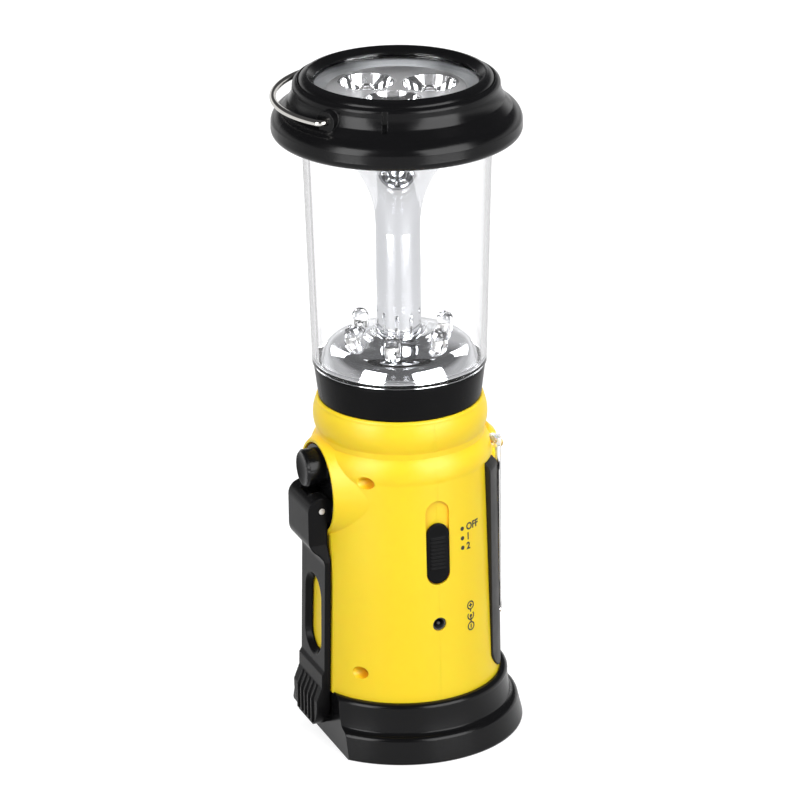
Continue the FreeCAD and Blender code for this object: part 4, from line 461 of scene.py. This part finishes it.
def strokes(paths, width):
    """Flat printed lines. Each path of points gets two edges half a width to its left and right, and each
    edge a low and a high point, which makes a closed strip of the ink's thickness."""
    points = []
    faces = []
    start = 0
    for path in paths:
        path = np.asarray(path, float)
        run = np.gradient(path, axis=0)
        run /= np.linalg.norm(run, axis=1, keepdims=True)
        left = np.stack([-run[:, 1], run[:, 0]], axis=-1) * width / 2
        rows = len(path)
        low = np.full((rows, 1), -LIFT)
        high = np.full((rows, 1), INK - LIFT)
        ring = np.stack([np.hstack([path - left, low]), np.hstack([path + left, low]),
                         np.hstack([path + left, high]), np.hstack([path - left, high])], axis=1)
        points.append(ring.reshape(-1, 3))
        row = start + 4 * np.arange(rows - 1)[:, None]
        side = np.arange(4)
        after = (side + 1) % 4
        quads = np.stack([row + side, row + 4 + side, row + 4 + after, row + after], axis=-1)
        faces += quads.reshape(-1, 4).tolist()
        faces.append([start, start + 1, start + 2, start + 3])
        faces.append([start + 4 * rows - 4 + corner_at for corner_at in (3, 2, 1, 0)])
        start += 4 * rows
    return np.concatenate(points), faces


def figures(text, size):
    """A word or number as closed flat letters, centred at their middle: Blender's own font made a mesh, with
    its doubles merged, returned as points and faces in millimetres."""
    curve = bpy.data.curves.new("figures", "FONT")
    curve.body = text
    curve.size = size
    curve.align_x = "CENTER"
    curve.align_y = "CENTER"
    curve.resolution_u = 4
    curve.extrude = INK / 2
    curve.offset = 0.035 * size
    holder = bpy.data.objects.new("figures", curve)
    bpy.context.scene.collection.objects.link(holder)
    bpy.context.view_layer.update()
    mesh = bpy.data.meshes.new_from_object(holder)
    form = bmesh.new()
    form.from_mesh(mesh)
    bmesh.ops.remove_doubles(form, verts=form.verts, dist=0.001)
    bmesh.ops.recalc_face_normals(form, faces=form.faces)
    points = np.array([vertex.co[:] for vertex in form.verts])
    faces = [[vertex.index for vertex in face.verts] for face in form.faces]
    form.free()
    bpy.data.objects.remove(holder)
    bpy.data.curves.remove(curve)
    bpy.data.meshes.remove(mesh)
    points[:, 2] += INK / 2 - LIFT
    return points, faces


def print_piece(name, marks, material):
    """Joins printed marks, each wrapped points and faces, into one piece of the lantern's body."""
    points = []
    faces = []
    start = 0
    for mark_points, mark_faces in marks:
        points.append(mark_points)
        faces += [[start + index for index in face] for face in mark_faces]
        start += len(mark_points)
    piece = put_mesh(name, np.concatenate(points) * MM, faces, material)
    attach(piece, "lantern")
    return piece


def arc(radius, first, last, steps):
    """Points of an arc round the origin, angles in degrees clockwise from straight up: right is the radius
    times the sine of the angle, and up the radius times its cosine."""
    angle = np.radians(np.linspace(first, last, steps))
    return np.stack([radius * np.sin(angle), radius * np.cos(angle)], axis=-1)


print_ink = moulded("print_ink", (0.010, 0.010, 0.010), (0.020, 0.019, 0.018), 0.40, 0.55, grain=0.0)
SWITCH_MARKS = (("OFF", 71.5), ("1", 68.4), ("2", 65.3))
DOT_TURN = 289.5
DOT_RADIUS = 0.68
LABEL_TURN = 298.3
LABEL_SIZE = 3.1
NUMBER_SHIFT = 2.0


def dot(radius, steps=24):
    """A closed flat disc: two rings of points on a circle, with its sides and two end faces."""
    rim = arc(radius, 0, 360 - 360 / steps, steps)
    points = np.concatenate([np.column_stack([rim, np.full(steps, out)]) for out in (-LIFT, INK - LIFT)])
    step = np.arange(steps)
    further = (step + 1) % steps
    sides = np.stack([step, step + steps, further + steps, further], axis=-1).tolist()
    return points, sides + [step.tolist(), (steps + step[::-1]).tolist()]


switch_marks = []
for label, mark_z in SWITCH_MARKS:
    points, faces = dot(DOT_RADIUS)
    switch_marks.append((wrap(points, DOT_TURN, mark_z, housing_radius), faces))
    points, faces = figures(label, LABEL_SIZE)
    points[:, 0] -= 0.0 if label == "OFF" else NUMBER_SHIFT
    switch_marks.append((wrap(points, LABEL_TURN, mark_z, housing_radius), faces))
print_piece("switch_print", switch_marks, print_ink)

POLARITY_TURN = 294.6
SIGN_Z = 42.4
SIGN_RADIUS = 1.25
SIGN_STROKE = 0.44
TIP_RADIUS = 0.5
upper_sign = [arc(SIGN_RADIUS, 0, 360, 25) + (0, 3.4), [(0, 2.7), (0, 4.1)], [(-0.7, 3.4), (0.7, 3.4)]]
middle_sign = [arc(SIGN_RADIUS, 50, 310, 20), [(0, 0), (0, -2.2)], [(0, SIGN_RADIUS), (0, 2.15)]]
lower_sign = [arc(SIGN_RADIUS, 0, 360, 25) - (0, 3.4), [(0, -2.7), (0, -4.1)]]
sign_marks = [(wrap(points, POLARITY_TURN, SIGN_Z, housing_radius), faces) for points, faces in
              (strokes(upper_sign + middle_sign + lower_sign, SIGN_STROKE), dot(TIP_RADIUS))]
print_piece("charger_print", sign_marks, print_ink)

KNOB_Z = 45.0
NUMBER_SIZE = 1.9
UPPER_REACH = 10.5
LOWER_REACH = 10.3
scale_marks = []
ticks = [np.array([arc(7.9, turn, turn, 1)[0], arc(8.5 + 0.5 * (index % 5 == 0), turn, turn, 1)[0]])
         for index, turn in enumerate(np.linspace(-150, 150, 51))]
points, faces = strokes(ticks, 0.18)
scale_marks.append((wrap(points, 0.0, KNOB_Z, window_radius), faces))
for number, turn in zip(("88", "92", "96", "100", "104", "108"), np.linspace(-80, 80, 6)):
    points, faces = figures(number, NUMBER_SIZE)
    points[:, :2] += arc(UPPER_REACH, turn, turn, 1)[0]
    scale_marks.append((wrap(points, 0.0, KNOB_Z, window_radius), faces))
for number, turn in zip(("53", "70", "90", "120", "160"), np.linspace(-106, -222, 5)):
    points, faces = figures(number, NUMBER_SIZE)
    points[:, :2] += arc(LOWER_REACH, turn, turn, 1)[0]
    scale_marks.append((wrap(points, 0.0, KNOB_Z, window_radius), faces))
print_piece("dial_print", scale_marks, print_ink)

# Floor, studio lights and camera. The camera stands where the photograph was taken from, aimed at half
# height; the picture is framed closer, so that the lantern fills it.
FRAMING = 1.5
PHOTO_LENS = 148.5
AIM = Vector((0.0, 0.0, 0.105))
DISTANCE = 1.5
RISE = math.radians(21.6)
TOWARDS = Vector((-0.3584, -0.9336, 0.0))
ROLL = math.radians(-0.68)
camera_data = bpy.data.cameras.new("photo_camera")
camera_data.lens = PHOTO_LENS * FRAMING
camera_data.sensor_width = 36.0
camera_data.clip_end = 50.0
camera = bpy.data.objects.new("photo_camera", camera_data)
bpy.context.scene.collection.objects.link(camera)
stand = AIM + DISTANCE * (math.cos(RISE) * TOWARDS + Vector((0, 0, math.sin(RISE))))
look = (AIM - stand).to_track_quat("-Z", "Y").to_matrix().to_4x4()
camera.matrix_world = Matrix.Translation(stand) @ look @ Matrix.Rotation(ROLL, 4, "Z")
bpy.context.scene.camera = camera

floor_mesh = bpy.data.meshes.new("floor")
side = 8.0
floor_corners = [(-side, -side, 0), (side, -side, 0), (side, side, 0), (-side, side, 0)]
floor_mesh.from_pydata(floor_corners, [], [(0, 1, 2, 3)])
floor = bpy.data.objects.new("floor", floor_mesh)
bpy.context.scene.collection.objects.link(floor)
floor_paper = bpy.data.materials.new("floor_paper")
floor_paper.use_nodes = True
tree = floor_paper.node_tree
paper = tree.nodes["Principled BSDF"]
paper.inputs["Base Color"].default_value = (0.30, 0.30, 0.304, 1)
paper.inputs["Roughness"].default_value = 0.55
paper.inputs["Specular IOR Level"].default_value = 0.25
FLOOR_LIFT = 0.80
FLOOR_LOSS = 0.44
WORLD_LOSS = 0.46
path = node_in(tree, "ShaderNodeLightPath")
lift = node_in(tree, "ShaderNodeMath", operation="MULTIPLY")
lift.inputs[1].default_value = FLOOR_LIFT


def any_ray(tree, path, *kinds):
    """One for the named kinds of ray, nought for the others: the greatest of their Light Path values."""
    greatest = path.outputs[kinds[0]]
    for kind in kinds[1:]:
        either = node_in(tree, "ShaderNodeMath", operation="MAXIMUM")
        tree.links.new(greatest, either.inputs[0])
        tree.links.new(path.outputs[kind], either.inputs[1])
        greatest = either.outputs[0]
    return greatest


def mirrored_share(tree, path, loss):
    """One for what is seen straight or through clear plastic, less the loss times the number of glossy
    bounces before it, and never under nought."""
    share = node_in(tree, "ShaderNodeMath", operation="MULTIPLY_ADD", use_clamp=True)
    share.inputs[1].default_value = -loss
    share.inputs[2].default_value = 1.0
    tree.links.new(path.outputs["Glossy Depth"], share.inputs[0])
    return share.outputs[0]


strength = node_in(tree, "ShaderNodeMath", operation="MULTIPLY")
looked_at = any_ray(tree, path, "Is Camera Ray", "Is Glossy Ray", "Is Transmission Ray")
tree.links.new(looked_at, strength.inputs[0])
tree.links.new(mirrored_share(tree, path, FLOOR_LOSS), strength.inputs[1])
tree.links.new(strength.outputs[0], lift.inputs[0])
paper.inputs["Emission Color"].default_value = (1, 1, 1, 1)
tree.links.new(lift.outputs[0], paper.inputs["Emission Strength"])
floor_mesh.materials.append(floor_paper)

world = bpy.data.worlds.new("studio")
bpy.context.scene.world = world
world.use_nodes = True
tree = world.node_tree
room = tree.nodes["Background"]
room.inputs["Strength"].default_value = 1.0
where = node_in(tree, "ShaderNodeTexCoord")
rise = node_in(tree, "ShaderNodeSeparateXYZ")
tree.links.new(where.outputs["Generated"], rise.inputs[0])
ramp = node_in(tree, "ShaderNodeValToRGB")
ramp.color_ramp.elements[0].position = 0.10
ramp.color_ramp.elements[0].color = (1, 1, 1, 1)
ramp.color_ramp.elements[1].position = 0.26
ramp.color_ramp.elements[1].color = (0.07, 0.07, 0.073, 1)
tree.links.new(rise.outputs["Z"], ramp.inputs["Fac"])
path = node_in(tree, "ShaderNodeLightPath")
lit = node_in(tree, "ShaderNodeMix", data_type="RGBA")
lit.inputs[7].default_value = (0.42, 0.42, 0.42, 1)
tree.links.new(path.outputs["Is Diffuse Ray"], lit.inputs[0])
tree.links.new(ramp.outputs["Color"], lit.inputs[6])
seen = node_in(tree, "ShaderNodeMix", data_type="RGBA")
seen.inputs[7].default_value = (1, 1, 1, 1)
overhead = node_in(tree, "ShaderNodeMapRange")
for socket, value in (("From Min", 0.40), ("From Max", 0.60), ("To Min", 1.0), ("To Max", 0.12)):
    overhead.inputs[socket].default_value = value
tree.links.new(rise.outputs["Z"], overhead.inputs["Value"])
through = node_in(tree, "ShaderNodeMath", operation="MULTIPLY")
tree.links.new(path.outputs["Is Transmission Ray"], through.inputs[0])
tree.links.new(overhead.outputs["Result"], through.inputs[1])
shown = node_in(tree, "ShaderNodeMath", operation="MULTIPLY")
tree.links.new(through.outputs[0], shown.inputs[0])
tree.links.new(mirrored_share(tree, path, WORLD_LOSS), shown.inputs[1])
bright = node_in(tree, "ShaderNodeMath", operation="MAXIMUM")
tree.links.new(path.outputs["Is Camera Ray"], bright.inputs[0])
tree.links.new(shown.outputs[0], bright.inputs[1])
tree.links.new(bright.outputs[0], seen.inputs[0])
tree.links.new(lit.outputs[2], seen.inputs[6])
tree.links.new(seen.outputs[2], room.inputs["Color"])


def softbox(name, turn, rise, reach, width, height, power, gloss=False):
    """A rectangular lamp aimed at the lantern; turn is from the camera's side, positive to its right. From
    the aim it stands off by the reach times the cosine of the rise, and up by the reach times its sine. A
    gloss lamp is a reflection card: it shows in glossy surfaces and lights no diffuse surface."""
    data = bpy.data.lights.new(name, "AREA")
    data.shape = "RECTANGLE"
    data.size = width
    data.size_y = height
    data.energy = power
    lamp = bpy.data.objects.new(name, data)
    bpy.context.scene.collection.objects.link(lamp)
    lamp.visible_camera = False
    lamp.visible_glossy = gloss
    lamp.visible_diffuse = not gloss
    aim = Vector((0, 0, 0.11))
    heading = Matrix.Rotation(math.radians(turn), 3, "Z") @ TOWARDS
    climb = math.radians(rise)
    place = aim + reach * (math.cos(climb) * heading + Vector((0, 0, math.sin(climb))))
    facing = (aim - place).to_track_quat("-Z", "Y").to_matrix().to_4x4()
    lamp.matrix_world = Matrix.Translation(place) @ facing
    return lamp


def floor_card(name, turn, reach, width, depth, power):
    """A reflection card that lies on the floor and shows in the upright glossy walls above it."""
    lamp = softbox(name, turn, 0, reach, width, depth, power, gloss=True)
    heading = Matrix.Rotation(math.radians(turn), 3, "Z") @ TOWARDS
    flat = Matrix((heading.cross(Vector((0, 0, 1))), heading, -Vector((0, 0, 1)))).transposed()
    lamp.matrix_world = Matrix.Translation(reach * heading + Vector((0, 0, 0.002))) @ flat.to_4x4()
    return lamp


softbox("key_right", 38, 34, 1.3, 0.5, 0.5, 10)
softbox("key_left", -36, 34, 1.3, 0.5, 0.5, 7)
softbox("back_right", 138, 30, 1.4, 0.6, 0.6, 6)
softbox("back_left", -140, 30, 1.4, 0.6, 0.6, 6)
softbox("top", 180, 74, 1.5, 1.0, 0.8, 6)
softbox("card_right", 47, 24, 1.3, 1.0, 1.0, 19, gloss=True)
softbox("card_left", -44, 24, 1.3, 0.62, 1.0, 14, gloss=True)
floor_card("floor_card_right", 43, 0.6, 0.40, 0.34, 2.4)
floor_card("floor_card_left", -42, 0.6, 0.28, 0.34, 1.9)
bpy.context.scene.view_settings.view_transform = "Standard"
